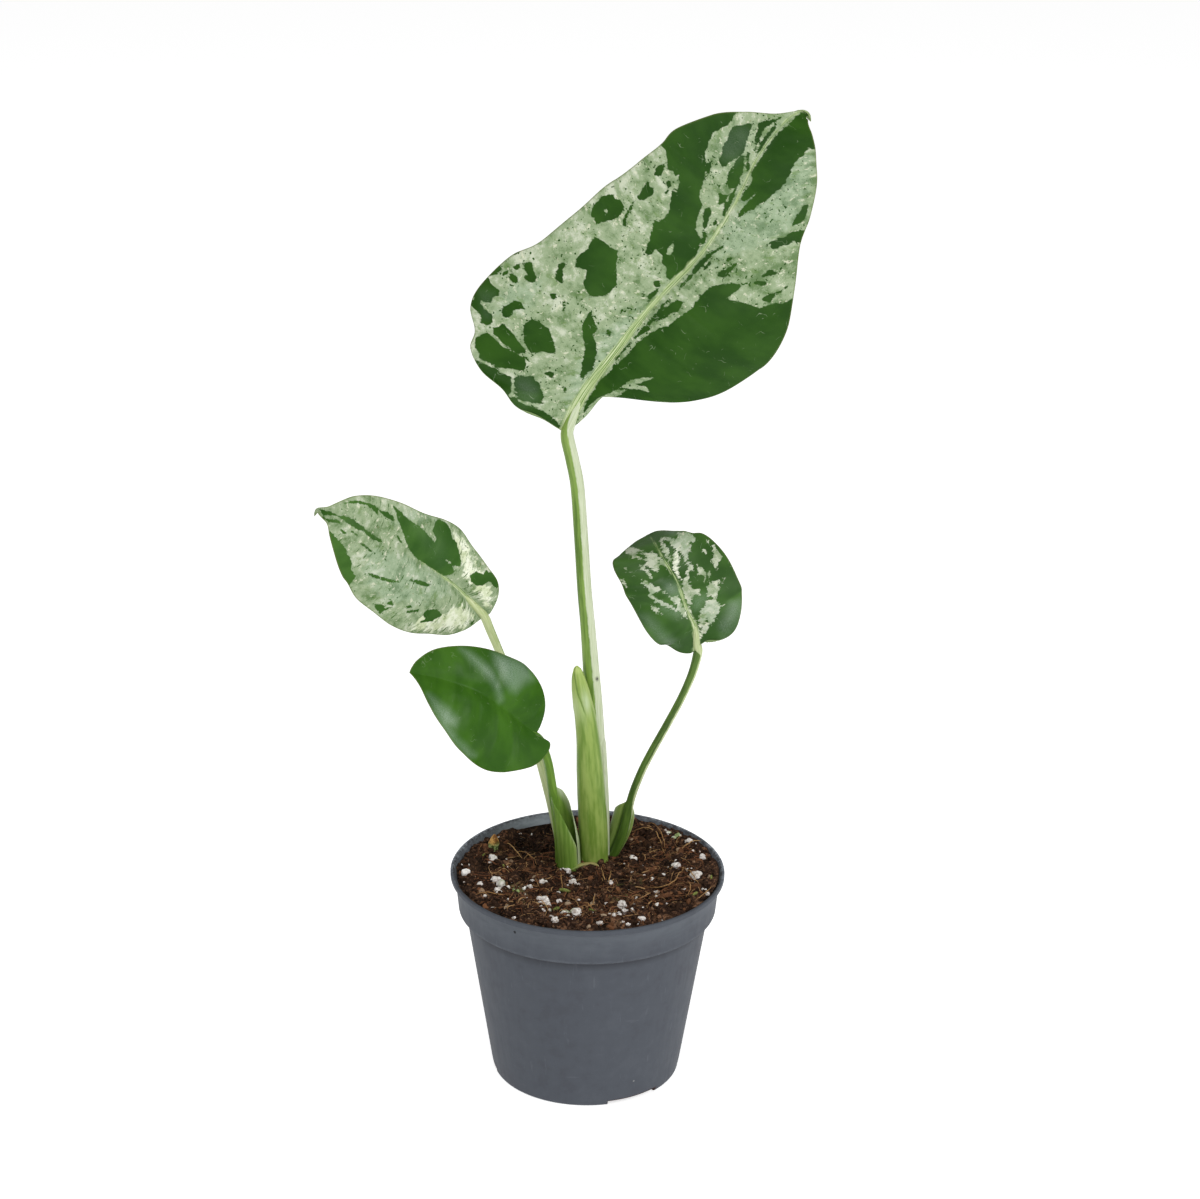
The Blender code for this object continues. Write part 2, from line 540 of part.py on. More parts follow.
def blade_veins(leaf, side):
    """Points along the side veins of half a blade, from midrib (column 0) to margin.

    Each vein starts on the midrib, heads for its own point of the margin and bends
    down as it goes.
    """
    midrib = smooth_curve(leaf["midrib"], 200)
    run = arc_length(midrib)
    length = run[-1]
    tangent = unit(np.gradient(midrib, run, axis=0))
    share = (run / length)[:, None]
    face = unit(leaf["face"]) * (1 - share) + unit(leaf["face_tip"]) * share
    face = unit(face - (face * tangent).sum(1, keepdims=True) * tangent)

    t = np.linspace(0, 1, BLADE_ROWS + 1)
    margin = smooth_curve([(0, 0), *leaf[side], (0, length)], BLADE_ROWS + 1)
    start = length * t**VEIN_LAG
    root, ahead, up = (np.stack([np.interp(start, run, c) for c in field.T], -1)
                       for field in (midrib, tangent, face))
    up = unit(up)
    outward = np.cross(ahead, up) * (-1 if side == "left" else 1)

    reach = np.hypot(margin[:, 0], margin[:, 1] - start)
    safe = np.maximum(reach, 1e-6)
    way = (outward * (margin[:, 0] / safe)[:, None]
           + ahead * ((margin[:, 1] - start) / safe)[:, None])
    s = np.array(BLADE_COLUMNS)[None]
    slope = -stepped(leaf["lift"][side], t)[:, None]
    bend = stepped(leaf["bend"][side], t)[:, None]
    along = reach[:, None] * s
    flat = (np.sin(slope + bend * along) - np.sin(slope)) / bend
    drop = (np.cos(slope + bend * along) - np.cos(slope)) / bend
    height, waves, phase = leaf["wave"][side]
    ripple = height * np.sin(waves * t[:, None] + phase) * s**2 * along / 60
    bow = -VEIN_BOW * margin[:, :1] * 4 * s * (1 - s)
    return (root[:, None] + way[:, None] * flat[..., None]
            + up[:, None] * (drop + ripple)[..., None] + ahead[:, None] * bow[..., None])


def leaf_blade(name):
    """A thin blade under the surface that its veins span, with a keel for the midrib."""
    leaf = LEAVES[name]
    left, right = blade_veins(leaf, "left"), blade_veins(leaf, "right")
    rows = np.concatenate([left[:, :0:-1], right], axis=1)[1:-1]
    n, k = rows.shape[:2]
    base, tip = left[0, 0], left[-1, 0]
    top = np.vstack([rows.reshape(-1, 3), base, tip])
    base_id, tip_id = n * k, n * k + 1
    quads = [(i * k + j, i * k + j + 1, (i + 1) * k + j + 1, (i + 1) * k + j)
             for i in range(n - 1) for j in range(k - 1)]
    skin = [t for a, b, c, d in quads for t in ((a, b, c), (a, c, d))]
    skin += [(base_id, j + 1, j) for j in range(k - 1)]
    skin += [(tip_id, (n - 1) * k + j, (n - 1) * k + j + 1) for j in range(k - 1)]

    normal = np.zeros_like(top)
    for face in skin:
        a, b, c = top[list(face)]
        for corner in face:
            normal[corner] += np.cross(b - a, c - a)
    normal = unit(normal)
    normal *= np.sign(normal[k // 2] @ (-np.asarray(leaf["face"])))
    depth = np.full(n * k + 2, BLADE)
    depth[k // 2:n * k:k] += KEEL * np.linspace(1, 0, n)
    depth[base_id] += KEEL
    below = top + normal * depth[:, None]
    rim = ([base_id] + [i * k for i in range(n)] + [tip_id]
           + [i * k + k - 1 for i in reversed(range(n))])
    shift = len(top)
    faces = skin + [tuple(v + shift for v in reversed(face)) for face in skin]
    for a, b in zip(rim, rim[1:] + rim[:1]):
        faces += [(a, b, b + shift), (a, b + shift, a + shift)]
    mesh_object(name, np.vstack([top, below]), faces, "leaf")


def petiole_section(radius, left, right, curl, hollow):
    """Outline of a cut petiole as (across, forward): a round rib between two wings.

    left and right are the wings' reach from the rib's middle, measured along them.
    hollow takes the front half of the rib away, so that the sheath holds a new leaf.
    """
    left, right = max(left, radius * 1.15), max(right, radius * 1.15)
    s = np.concatenate([np.linspace(-left, -radius, 3)[:-1],
                        radius * np.sin(np.linspace(-math.pi / 2, math.pi / 2, 7)),
                        np.linspace(radius, right, 3)[1:]])
    rib = np.sqrt(np.maximum(radius**2 - s**2, 0))
    back = np.maximum(rib, SKIN / 2)
    front = np.maximum(rib * (1 - hollow), SKIN / 2)
    angle = s / curl
    centre = np.stack([curl * np.sin(angle), curl * (1 - np.cos(angle))], -1)
    inward = np.stack([-np.sin(angle), np.cos(angle)], -1)
    return np.vstack([centre - inward * back[:, None], (centre + inward * front[:, None])[::-1]])


def petiole(name):
    spec = PETIOLES[name]
    path = smooth_curve(spec["path"], PETIOLE_STATIONS)
    _, across, ahead = frames_along(path, spec["opens"])
    rings = []
    for point, a, f in zip(path, across, ahead):
        value = {key: by_height(spec[key], point[2])
                 for key in ("radius", "curl", "left_wing", "right_wing", "hollow")}
        curl = value["curl"]
        section = petiole_section(value["radius"], math.radians(value["left_wing"]) * curl,
                                  math.radians(value["right_wing"]) * curl, curl, value["hollow"])
        rings.append(point + np.outer(section[:, 0], a) + np.outer(section[:, 1], f))
    mesh_object(name, *loft(rings), "petiole")


def new_leaf():
    path = smooth_curve(SPEAR_AXIS, SPEAR_STATIONS)
    radii = [by_height(SPEAR_RADIUS, z) for z in path[:, 2]]
    mesh_object("new_leaf_spear", *loft(tube(path, radii, SPEAR_SIDES)), "new_leaf")


def main():
    for obj in list(bpy.data.objects):
        bpy.data.objects.remove(obj, do_unlink=True)
    pot()
    potting_soil()
    root_crown()
    for name in PETIOLES:
        petiole(name)
    for name in LEAVES:
        leaf_blade(name)
    new_leaf()
    old_sheath()
    lumps("perlite", "perlite", PERLITE, perlite_grain)
    lumps("coir_chip", "coir", CHIPS, coir_chip)


main()
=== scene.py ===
# %% [markdown]
# # A young variegated monstera in its nursery pot
#
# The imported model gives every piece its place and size, so the lesson starts by
# loading it. Each later cell takes one piece of the plant, says what it is in life,
# and replaces the plain solid by a finely modelled one with its own finish.
# Shapes are written in millimetres and turned into metres when a mesh is made.
# %% Load the model
import math

import bmesh
import bpy
import numpy as np
from mathutils import Matrix, Vector, noise


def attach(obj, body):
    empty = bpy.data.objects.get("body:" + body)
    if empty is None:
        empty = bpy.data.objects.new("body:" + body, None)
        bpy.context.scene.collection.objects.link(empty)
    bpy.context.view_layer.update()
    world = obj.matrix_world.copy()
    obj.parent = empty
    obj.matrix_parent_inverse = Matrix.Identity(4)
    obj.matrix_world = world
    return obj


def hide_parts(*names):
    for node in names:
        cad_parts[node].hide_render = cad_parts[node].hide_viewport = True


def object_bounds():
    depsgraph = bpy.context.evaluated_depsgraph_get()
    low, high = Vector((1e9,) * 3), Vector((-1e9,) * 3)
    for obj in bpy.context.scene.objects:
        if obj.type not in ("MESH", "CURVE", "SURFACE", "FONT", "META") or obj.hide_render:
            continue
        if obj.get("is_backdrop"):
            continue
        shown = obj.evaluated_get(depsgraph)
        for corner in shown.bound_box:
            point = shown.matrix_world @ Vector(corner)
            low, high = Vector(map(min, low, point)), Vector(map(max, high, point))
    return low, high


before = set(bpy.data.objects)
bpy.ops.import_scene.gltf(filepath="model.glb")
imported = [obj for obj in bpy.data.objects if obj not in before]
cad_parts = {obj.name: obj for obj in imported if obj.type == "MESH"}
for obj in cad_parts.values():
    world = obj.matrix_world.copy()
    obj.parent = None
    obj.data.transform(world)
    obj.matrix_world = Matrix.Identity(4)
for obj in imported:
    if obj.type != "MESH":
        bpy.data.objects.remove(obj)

MM = 0.001
cad_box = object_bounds()
print("nodes", len(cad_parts), "box", [tuple(round(c, 4) for c in corner) for corner in cad_box])

# %% [markdown]
# ## Small tools for curves
#
# A stalk, a midrib and a leaf's edge are all smooth lines through a few given points.
# A Catmull-Rom spline passes through every one of its points, which a Bezier's
# handles don't, so the tables below stay short and readable.
# %% Curve tools
def unit(v):
    """Vectors of length one."""
    v = np.asarray(v, float)
    return v / np.maximum(np.linalg.norm(v, axis=-1, keepdims=True), 1e-9)


def arc_length(points):
    """Distance run at each point of a line."""
    return np.concatenate([[0], np.cumsum(np.linalg.norm(np.diff(points, axis=0), axis=1))])


def smooth_curve(points, count):
    """count evenly spaced points on a smooth curve through points."""
    p = np.asarray(points, float)
    p = np.vstack([2 * p[0] - p[1], p, 2 * p[-1] - p[-2]])
    u = np.linspace(0, 1, 40, endpoint=False)[:, None]
    fine = []
    for a, b, c, d in zip(p, p[1:], p[2:], p[3:]):
        fine.append(0.5 * (2 * b + (c - a) * u + (2 * a - 5 * b + 4 * c - d) * u**2
                           + (3 * b - a - 3 * c + d) * u**3))
    fine = np.vstack(fine + [p[-2:-1]])
    run = arc_length(fine)
    at = np.linspace(0, run[-1], count)
    return np.stack([np.interp(at, run, column) for column in fine.T], -1)


def pairs(numbers):
    """A run of numbers as pairs: 1,2, 3,4 becomes (1, 2) and (3, 4)."""
    return np.reshape(np.asarray(numbers, float), (-1, 2))


def by_height(table, z):
    """Values at heights z from a run of height,value pairs."""
    heights, values = pairs(table).T
    return np.interp(z, heights, values)


def stepped(values, t):
    """Smooth blend through values, spread evenly over t = 0 to 1."""
    values = np.asarray(values, float)
    x = np.clip(t, 0, 1) * (len(values) - 1)
    i = np.minimum(x.astype(int), len(values) - 2)
    f = x - i
    f = f * f * (3 - 2 * f)
    return values[i] * (1 - f) + values[i + 1] * f


def ramp(x, low, high):
    """0 below low, 1 above high, and a soft S between them."""
    f = np.clip((x - low) / (high - low), 0, 1)
    return f * f * (3 - 2 * f)


def full_turn(count):
    """count even angles round a circle."""
    return np.linspace(0, 2 * math.pi, count, endpoint=False)


def in_space(x, y, z=0):
    """Points from their coordinates; a single number holds for all of them."""
    return np.stack(np.broadcast_arrays(x, y, z), -1)


def bell(x, y, middle, reach, power=2):
    """1 at the middle, falling to nearly 0 at twice the reach."""
    return np.exp(-(np.hypot(x - middle[0], y - middle[1]) / reach)**power)


def bumps(points, size, seed=0):
    """Smooth random values from -1 to 1 at points, with lumps of about size."""
    shift = Vector((17.3 * seed, -9.1 * seed, 5.7 * seed))
    return np.array([noise.noise(Vector(p) / size + shift) for p in np.asarray(points, float)])


ring = smooth_curve(((0, 0), (30, 40), (80, 0)), 9)
print("nine even points on a test arc, spacing", round(float(arc_length(ring)[1]), 2), "mm")

# %% [markdown]
# ## Making a piece
#
# Every piece ends the same way: its points become a mesh in place, its faces are
# turned outwards, and it rides on the plant's only body. Values that the finish
# needs, such as how far a point lies from a blotch's edge, go along as attributes.
# An attribute follows the surface wherever it bends, which a flat projection can't.
# %% Piece maker
def new_object(name, data):
    """Puts a mesh, lamp or camera into the scene."""
    obj = bpy.data.objects.new(name, data)
    bpy.context.scene.collection.objects.link(obj)
    return obj


def store(mesh, marks):
    """Keeps values or vectors on the points of a mesh, by name."""
    for key, values in marks.items():
        values = np.asarray(values, np.float32)
        kind, field = ('FLOAT', 'value') if values.ndim == 1 else ('FLOAT_VECTOR', 'vector')
        mesh.attributes.new(key, kind, 'POINT').data.foreach_set(field, values.ravel())


def settle(obj, slot, *nodes):
    """Hands a finished piece to the model, in place of the CAD nodes it stands for."""
    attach(obj, "root")
    if nodes:
        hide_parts(*nodes)
    corners = np.array([v.co for v in obj.data.vertices]) / MM
    triangles = sum(len(p.vertices) - 2 for p in obj.data.polygons)
    print(f"{obj.name}: {np.ptp(corners, axis=0).round(1)} mm, {triangles} triangles")


def make_mesh(name, points, faces, finish, marks=None, sharp=180):
    """A mesh object from points in millimetres, its faces turned outwards."""
    mesh = bpy.data.meshes.new(name)
    mesh.from_pydata((np.asarray(points, float) * MM).tolist(), [], faces)
    work = bmesh.new()
    work.from_mesh(mesh)
    bmesh.ops.recalc_face_normals(work, faces=work.faces)
    work.to_mesh(mesh)
    work.free()
    mesh.shade_smooth()
    mesh.set_sharp_from_angle(angle=math.radians(sharp))
    store(mesh, marks or {})
    mesh.materials.append(finish)
    return new_object(name, mesh)


def loft(rings):
    """Points and faces of a solid skinned over rings of equal count, with flat ends."""
    n, k = len(rings), len(rings[0])
    faces = [(i * k + j, i * k + (j + 1) % k, (i + 1) * k + (j + 1) % k, (i + 1) * k + j)
             for i in range(n - 1) for j in range(k)]
    faces.append(tuple(range(k)))
    faces.append(tuple((n - 1) * k + j for j in reversed(range(k))))
    return np.vstack(rings), faces


def frames_along(path, forward):
    """Sideways and forward directions at each point of a path."""
    tangent = unit(np.gradient(path, axis=0))
    ahead = unit(forward - (tangent @ np.asarray(forward, float))[:, None] * tangent)
    return np.cross(tangent, ahead), ahead


print("tools ready for", len(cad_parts), "nodes")

# %% [markdown]
# ## Colours and shader tools
#
# A paint chip is easiest to name by its three screen values from 0 to 255, but a
# shader adds light in linear values. One function turns the first into the second,
# so every colour below can be read and compared by eye.
# %% Shader tools
def chip(red, green, blue):
    """Linear colour of a paint chip given in screen values."""
    values = [c / 255 for c in (red, green, blue)]
    return (*(c / 12.92 if c <= 0.04045 else ((c + 0.055) / 1.055)**2.4 for c in values), 1.0)


def add(tree, kind, inputs=None, **settings):
    """A new node: settings are its properties, inputs are values or links by socket."""
    node = tree.nodes.new(kind)
    for key, value in settings.items():
        setattr(node, key, value)
    for key, value in (inputs or {}).items():
        if isinstance(value, bpy.types.NodeSocket):
            tree.links.new(value, node.inputs[key])
        else:
            node.inputs[key].default_value = value
    return node


def calc(tree, operation, *values):
    """One number worked out from others by a Math node."""
    return add(tree, 'ShaderNodeMath', dict(enumerate(values)), operation=operation).outputs[0]


def times(tree, a, b):
    """a times b."""
    return calc(tree, 'MULTIPLY', a, b)


def times_plus(tree, a, b, c):
    """a times b, plus c."""
    return calc(tree, 'MULTIPLY_ADD', a, b, c)


def soft_step(tree, value, low, high, to_low=0.0, to_high=1.0):
    """to_low below low, to_high above high, and an S-shaped blend between."""
    node = add(tree, 'ShaderNodeMapRange',
               {"Value": value, "From Min": low, "From Max": high, "To Min": to_low, "To Max": to_high},
               interpolation_type='SMOOTHSTEP')
    return node.outputs["Result"]


def blend(tree, mask, under, over):
    """Colour under, covered by colour over where mask is 1."""
    return add(tree, 'ShaderNodeMix', {0: mask, 6: under, 7: over}, data_type='RGBA').outputs[2]


def tinted(tree, value, low, high, under, over, most=1.0):
    """Colour under, which turns into colour over as value rises from low to high."""
    return blend(tree, soft_step(tree, value, low, high, 0.0, most), under, over)


def stretched(tree, vector, scale, shift=(0, 0, 0)):
    """vector scaled by a different amount along each axis."""
    return add(tree, 'ShaderNodeMapping', {"Vector": vector, "Scale": scale, "Location": shift}).outputs[0]


def cloud(tree, vector, scale, detail=2.0, rough=0.5, shift=(0, 0, 0)):
    """Smooth noise from 0 to 1. With three scales it is stretched, and shift moves it."""
    if isinstance(scale, tuple):
        vector, scale = stretched(tree, vector, scale, shift), 1.0
    return add(tree, 'ShaderNodeTexNoise',
               {"Vector": vector, "Scale": scale, "Detail": detail, "Roughness": rough}).outputs["Fac"]


def attribute(tree, name, output="Fac"):
    """A value stored on the mesh's points."""
    return add(tree, 'ShaderNodeAttribute', attribute_name=name).outputs[output]


def position(tree):
    """Place on the object, in metres."""
    return add(tree, 'ShaderNodeTexCoord').outputs["Object"]


def new_material(name, roughness, specular):
    """A material with its Principled shader, whose even values are set on the shader."""
    mat = bpy.data.materials.new(name)
    mat.use_nodes = True
    shader = mat.node_tree.nodes["Principled BSDF"]
    shader.inputs["Roughness"].default_value = roughness
    shader.inputs["Specular IOR Level"].default_value = specular
    return mat, mat.node_tree, shader


def dress(tree, shader, colour, roughness=None, height=None, distance=0.0002, strength=0.5):
    """Links a colour, and maybe a roughness and a bump height, to the shader."""
    tree.links.new(colour, shader.inputs["Base Color"])
    if roughness is not None:
        tree.links.new(roughness, shader.inputs["Roughness"])
    if height is not None:
        bump = add(tree, 'ShaderNodeBump', {"Height": height, "Distance": distance, "Strength": strength})
        tree.links.new(bump.outputs[0], shader.inputs["Normal"])


print("deep leaf green in linear light", [round(c, 3) for c in chip(46, 82, 32)[:3]])

# %% [markdown]
# ## Effects that several finishes share
#
# A node group is a little tree with its own inputs and outputs. Dust lies on the
# pot and on the leaves, mottling gives living tissue and plastic their uneven tone,
# frayed edges belong to every blotch, and fine lengthwise lines run along each
# stalk. Each is built once here, and every finish sets its own values on it.
# %% Shared shader groups
def shader_group(name, inputs, outputs):
    """An empty shader group. A socket is named with its kind, or with a number for a Float."""
    group = bpy.data.node_groups.new(name, 'ShaderNodeTree')
    for label, value in inputs.items():
        kind = value if isinstance(value, str) else 'Float'
        socket = group.interface.new_socket(label, in_out='INPUT', socket_type='NodeSocket' + kind)
        if kind == 'Float':
            socket.default_value = value
    for label, kind in outputs.items():
        group.interface.new_socket(label, in_out='OUTPUT', socket_type='NodeSocket' + kind)
    return group, group.nodes.new('NodeGroupInput').outputs, group.nodes.new('NodeGroupOutput').inputs


def use(tree, group, inputs):
    """Places a shader group in a material."""
    return add(tree, 'ShaderNodeGroup', inputs, node_tree=group).outputs


def dust_group():
    """Sparse round specks: a cell shows its speck only where its random value is high."""
    group, given, result = shader_group(
        "dust_specks", {"Vector": 'Vector', "Scale": 200.0, "Amount": 0.1, "Size": 0.15}, {"Mask": 'Float'})
    cells = add(group, 'ShaderNodeTexVoronoi', {"Vector": given["Vector"], "Scale": given["Scale"]})
    pick = add(group, 'ShaderNodeSeparateColor', {"Color": cells.outputs["Color"]}).outputs[0]
    chosen = calc(group, 'LESS_THAN', pick, given["Amount"])
    near = calc(group, 'SUBTRACT', given["Size"], cells.outputs["Distance"])
    spot = times(group, times(group, near, 12.0), chosen)
    mask = add(group, 'ShaderNodeClamp', {"Value": spot}).outputs[0]
    group.links.new(mask, result["Mask"])
    return group


def mottle_group():
    """Three tones mixed by broad and fine noise."""
    group, given, result = shader_group(
        "mottle", {"Vector": 'Vector', "Broad": 50.0, "Fine": 300.0, "Dark": 'Color', "Middle": 'Color',
                   "Light": 'Color'}, {"Color": 'Color', "Value": 'Float'})
    broad = cloud(group, given["Vector"], given["Broad"], 3.0, 0.55)
    fine = cloud(group, given["Vector"], given["Fine"], 4.0, 0.6)
    value = times_plus(group, fine, 0.6, times(group, broad, 0.4))
    low = tinted(group, value, 0.36, 0.50, given["Dark"], given["Middle"])
    colour = tinted(group, value, 0.50, 0.64, low, given["Light"])
    group.links.new(colour, result["Color"])
    group.links.new(value, result["Value"])
    return group


def fray_group():
    """Mask of a patch from a signed distance, with an edge frayed along the veins."""
    group, given, result = shader_group(
        "frayed_patch", {"Distance": 0.0, "Vector": 'Vector', "Fray": 1.0, "Soft": 0.15}, {"Mask": 'Float'})
    coarse = cloud(group, given["Vector"], (0.55, 0.22, 1.0), 2.0, 0.5)
    fine = cloud(group, given["Vector"], (2.2, 0.8, 1.0), 1.0, 0.5)
    coarse, fine = (calc(group, 'SUBTRACT', noise_value, 0.5) for noise_value in (coarse, fine))
    mixed = times_plus(group, fine, 0.35, coarse)
    moved = times_plus(group, mixed, given["Fray"], given["Distance"])
    mask = soft_step(group, moved, given["Soft"], times(group, given["Soft"], -1.0))
    group.links.new(mask, result["Mask"])
    return group


def lines_group():
    """Fine lines that run lengthwise: the vector is (around, along, 0) in millimetres."""
    group, given, result = shader_group(
        "lengthwise_lines", {"Vector": 'Vector', "Width": 1.0, "Run": 30.0}, {"Value": 'Float'})
    apart = add(group, 'ShaderNodeSeparateXYZ', {0: given["Vector"]})
    across = calc(group, 'DIVIDE', apart.outputs[0], given["Width"])
    along = calc(group, 'DIVIDE', apart.outputs[1], given["Run"])
    vector = add(group, 'ShaderNodeCombineXYZ', {0: across, 1: along}).outputs[0]
    group.links.new(cloud(group, vector, 1.0, 3.0, 0.6), result["Value"])
    return group


dust, mottle, frayed, lines = dust_group(), mottle_group(), fray_group(), lines_group()
print("shader groups:", [group.name for group in (dust, mottle, frayed, lines)])

# %% Short ways to use them
def mottled(tree, broad, fine, *tones):
    """A mottle of dark, middle and light tones, given as paint chips."""
    dark, middle, light = (chip(*tone) for tone in tones)
    return use(tree, mottle, {"Vector": position(tree), "Broad": broad, "Fine": fine, "Dark": dark,
                              "Middle": middle, "Light": light})


def mottled_finish(name, roughness, specular, broad, fine, *tones, strength=0.8):
    """A whole finish from one mottle, which also raises the surface."""
    mat, tree, shader = new_material(name, roughness, specular)
    tone = mottled(tree, broad, fine, *tones)
    dress(tree, shader, tone["Color"], None, tone["Value"], 0.0004, strength)
    return mat


def specks(tree, vector, scale, amount, size):
    """Mask of sparse round specks."""
    return use(tree, dust, {"Vector": vector, "Scale": scale, "Amount": amount, "Size": size})["Mask"]


def threads(tree, vector, width, run):
    """Value of fine lengthwise lines."""
    return use(tree, lines, {"Vector": vector, "Width": width, "Run": run})["Value"]


def veil(tree, mask, share, under, over):
    """Colour under, covered by share of colour over where mask is 1."""
    return blend(tree, times(tree, mask, share), under, over)


green_light = [round(chip(*tone)[1], 2) for tone in ((42, 82, 12), (230, 234, 213))]
print("a leaf's tones in green light go from", green_light[0], "to", green_light[1])

# %% [markdown]
# ## The pot's plastic
#
# A nursery pot is injection-moulded from cheap grey plastic: matt, a little chalky,
# with faint upright scuffs from being pulled out of a stack, and dust from the
# potting bench. The scuffs are noise stretched along the height.
# %% Pot finish
NICK = (-30.6, -49.0, 88.6, 1.1)                       # middle and reach of a dark nick in the collar


def pot_finish():
    """Grey plastic with scuffs, specks and grime where soil rubs it, a nick, a dark line at the notches,
    painted highlights on the lip and collar edges, painted light on the inner wall and painted shade under
    the collar.
    """
    mat, tree, shader = new_material("grey_pot_plastic", 0.5, 0.10)
    place = position(tree)
    tone = mottled(tree, 22.0, 160.0, (72, 75, 82), (75, 79, 86), (78, 82, 89))
    scuffs = cloud(tree, place, (420.0, 420.0, 34.0), 3.0, 0.6)
    scuffed = tinted(tree, scuffs, 0.62, 0.80, tone["Color"], chip(112, 115, 122), 0.28)
    rub = cloud(tree, place, (60.0, 60.0, 260.0), 3.0, 0.6)
    rubbed = tinted(tree, rub, 0.66, 0.80, scuffed, chip(106, 108, 115), 0.22)
    dusty = veil(tree, specks(tree, place, 95.0, 0.06, 0.06), 0.8, rubbed, chip(176, 176, 172))
    marked = veil(tree, specks(tree, place, 62.0, 0.03, 0.05), 0.75, dusty, chip(52, 40, 32))
    # painted light: the inner wall above the mix is lightened, most at the back left
    lit_inside = times(tree, attribute(tree, "inside"), soft_step(tree, rub, 0.30, 0.60, 0.45, 1.0))
    marked = blend(tree, lit_inside, marked, chip(146, 154, 160))
    highlight_and_nick_noise = cloud(tree, place, (300.0, 300.0, 900.0), 3.0, 0.7)
    # painted highlight on the lip's top towards the back and on the collar's lower edge, broken up by noise
    edge = times(tree, attribute(tree, "edge"), soft_step(tree, highlight_and_nick_noise, 0.42, 0.62, 0.20, 0.85))
    marked = blend(tree, edge, marked, chip(160, 167, 176))
    crumbs = soft_step(tree, cloud(tree, place, 520.0, 3.0, 0.7), 0.44, 0.54)
    grime = times(tree, attribute(tree, "grime"), times_plus(tree, crumbs, 0.55, 0.40))
    marked = blend(tree, grime, marked, chip(30, 24, 20))
    to_nick = add(tree, 'ShaderNodeVectorMath', {0: place, 1: tuple(v * MM for v in NICK[:3])},
                  operation='DISTANCE').outputs["Value"]
    ragged = times_plus(tree, highlight_and_nick_noise, NICK[3] * MM, to_nick)
    nick = soft_step(tree, ragged, 1.1 * NICK[3] * MM, 1.3 * NICK[3] * MM, 0.85, 0.0)
    marked = blend(tree, nick, marked, chip(28, 28, 30))
    # painted shade just under the collar
    marked = veil(tree, attribute(tree, "under"), 0.60, marked, chip(46, 46, 50))
    # a thin dark brown line along the top edge of each notch
    marked = veil(tree, attribute(tree, "notch_line"), 0.85, marked, chip(58, 40, 34))
    grain = cloud(tree, place, 2600.0, 2.0, 0.6)
    dress(tree, shader, marked, soft_step(tree, scuffs, 0.3, 0.8, 0.50, 0.64), grain, 0.00005, 0.25)
    return mat


pot_plastic = pot_finish()
print("pot finish has", len(pot_plastic.node_tree.nodes), "nodes")

# %% [markdown]
# ## The pot
#
# The pot is a body of revolution, so one profile is turned about the vertical axis.
# Its wall tapers so that pots stack, a wide collar stiffens the top, and a rolled
# lip keeps the rim from splitting. Round corners are given a few extra points, since
# a sharp edge never catches the light the way moulded plastic does. Drain holes and
# the shallow notches in the base are cut afterwards with Booleans.
# %% Pot profile
POT_HEIGHT, RIM_RADIUS, RIM_BEAD = 95.0, 60.0, 2.4
COLLAR_TOP, COLLAR_LOW, COLLAR_EDGE = 57.9, 56.5, 77.6
WALL_TOP, WALL_LOW, BASE_CORNER = 53.4, 42.0, 4.5
WALL, FLOOR = 1.3, 2.2
NOTCH_COUNT, NOTCH_FIRST, NOTCH_HALF, NOTCH_DEPTH, NOTCH_INNER = 3, -59.0, 17.0, 1.9, 22.0
HOLE_RADIUS = 3.0
HOLE_CIRCLES = ((31.0, 3, 0.0), (17.0, 6, 30.0))       # radius, count, turn from the notches
POT_SEGMENTS = 240
INSIDE_LIGHT = (-24, 51, 20)          # x, y and reach of the painted light on the inner wall above the mix


def inner_radius(z):
    """Radius of the pot's inside at height z."""
    heights = (FLOOR, BASE_CORNER, COLLAR_EDGE - 1.2, COLLAR_EDGE + 2, POT_HEIGHT - 3.9, POT_HEIGHT)
    radii = (WALL_LOW - WALL - 2.2, WALL_LOW - WALL, WALL_TOP - WALL, COLLAR_LOW - WALL,
             COLLAR_TOP - WALL, RIM_RADIUS - 1.5)
    return np.interp(z, heights, radii)


def rounded(corners):
    """A profile with its corners cut back to arcs: corners are (r, z, radius)."""
    points = [corners[0][:2]]
    for before, (r, z, radius), after in zip(corners, corners[1:], corners[2:]):
        corner = np.array((r, z))
        if radius == 0:
            points.append((r, z))
            continue
        to_before, to_after = (unit(np.subtract(p[:2], corner)) for p in (before, after))
        a, b = corner + to_before * radius, corner + to_after * radius
        for s in np.linspace(0, 1, 5):
            points.append(tuple((1 - s)**2 * a + 2 * s * (1 - s) * corner + s**2 * b))
    return points + [corners[-1][:2]]


def lathe(profile, segments):
    """A solid turned about Z from an (r, z) profile that starts and ends on the axis."""
    turn = full_turn(segments)
    verts = [(0, 0, profile[0][1])]
    for r, z in profile[1:-1]:
        verts += [(r * math.cos(a), r * math.sin(a), z) for a in turn]
    verts.append((0, 0, profile[-1][1]))
    rows = len(profile) - 2
    faces = []
    for j in range(segments):
        k = (j + 1) % segments
        faces.append((0, 1 + k, 1 + j))
        for i in range(rows - 1):
            low, high = 1 + i * segments, 1 + (i + 1) * segments
            faces.append((low + j, low + k, high + k, high + j))
        last = 1 + (rows - 1) * segments
        faces.append((last + j, last + k, len(verts) - 1))
    return verts, faces


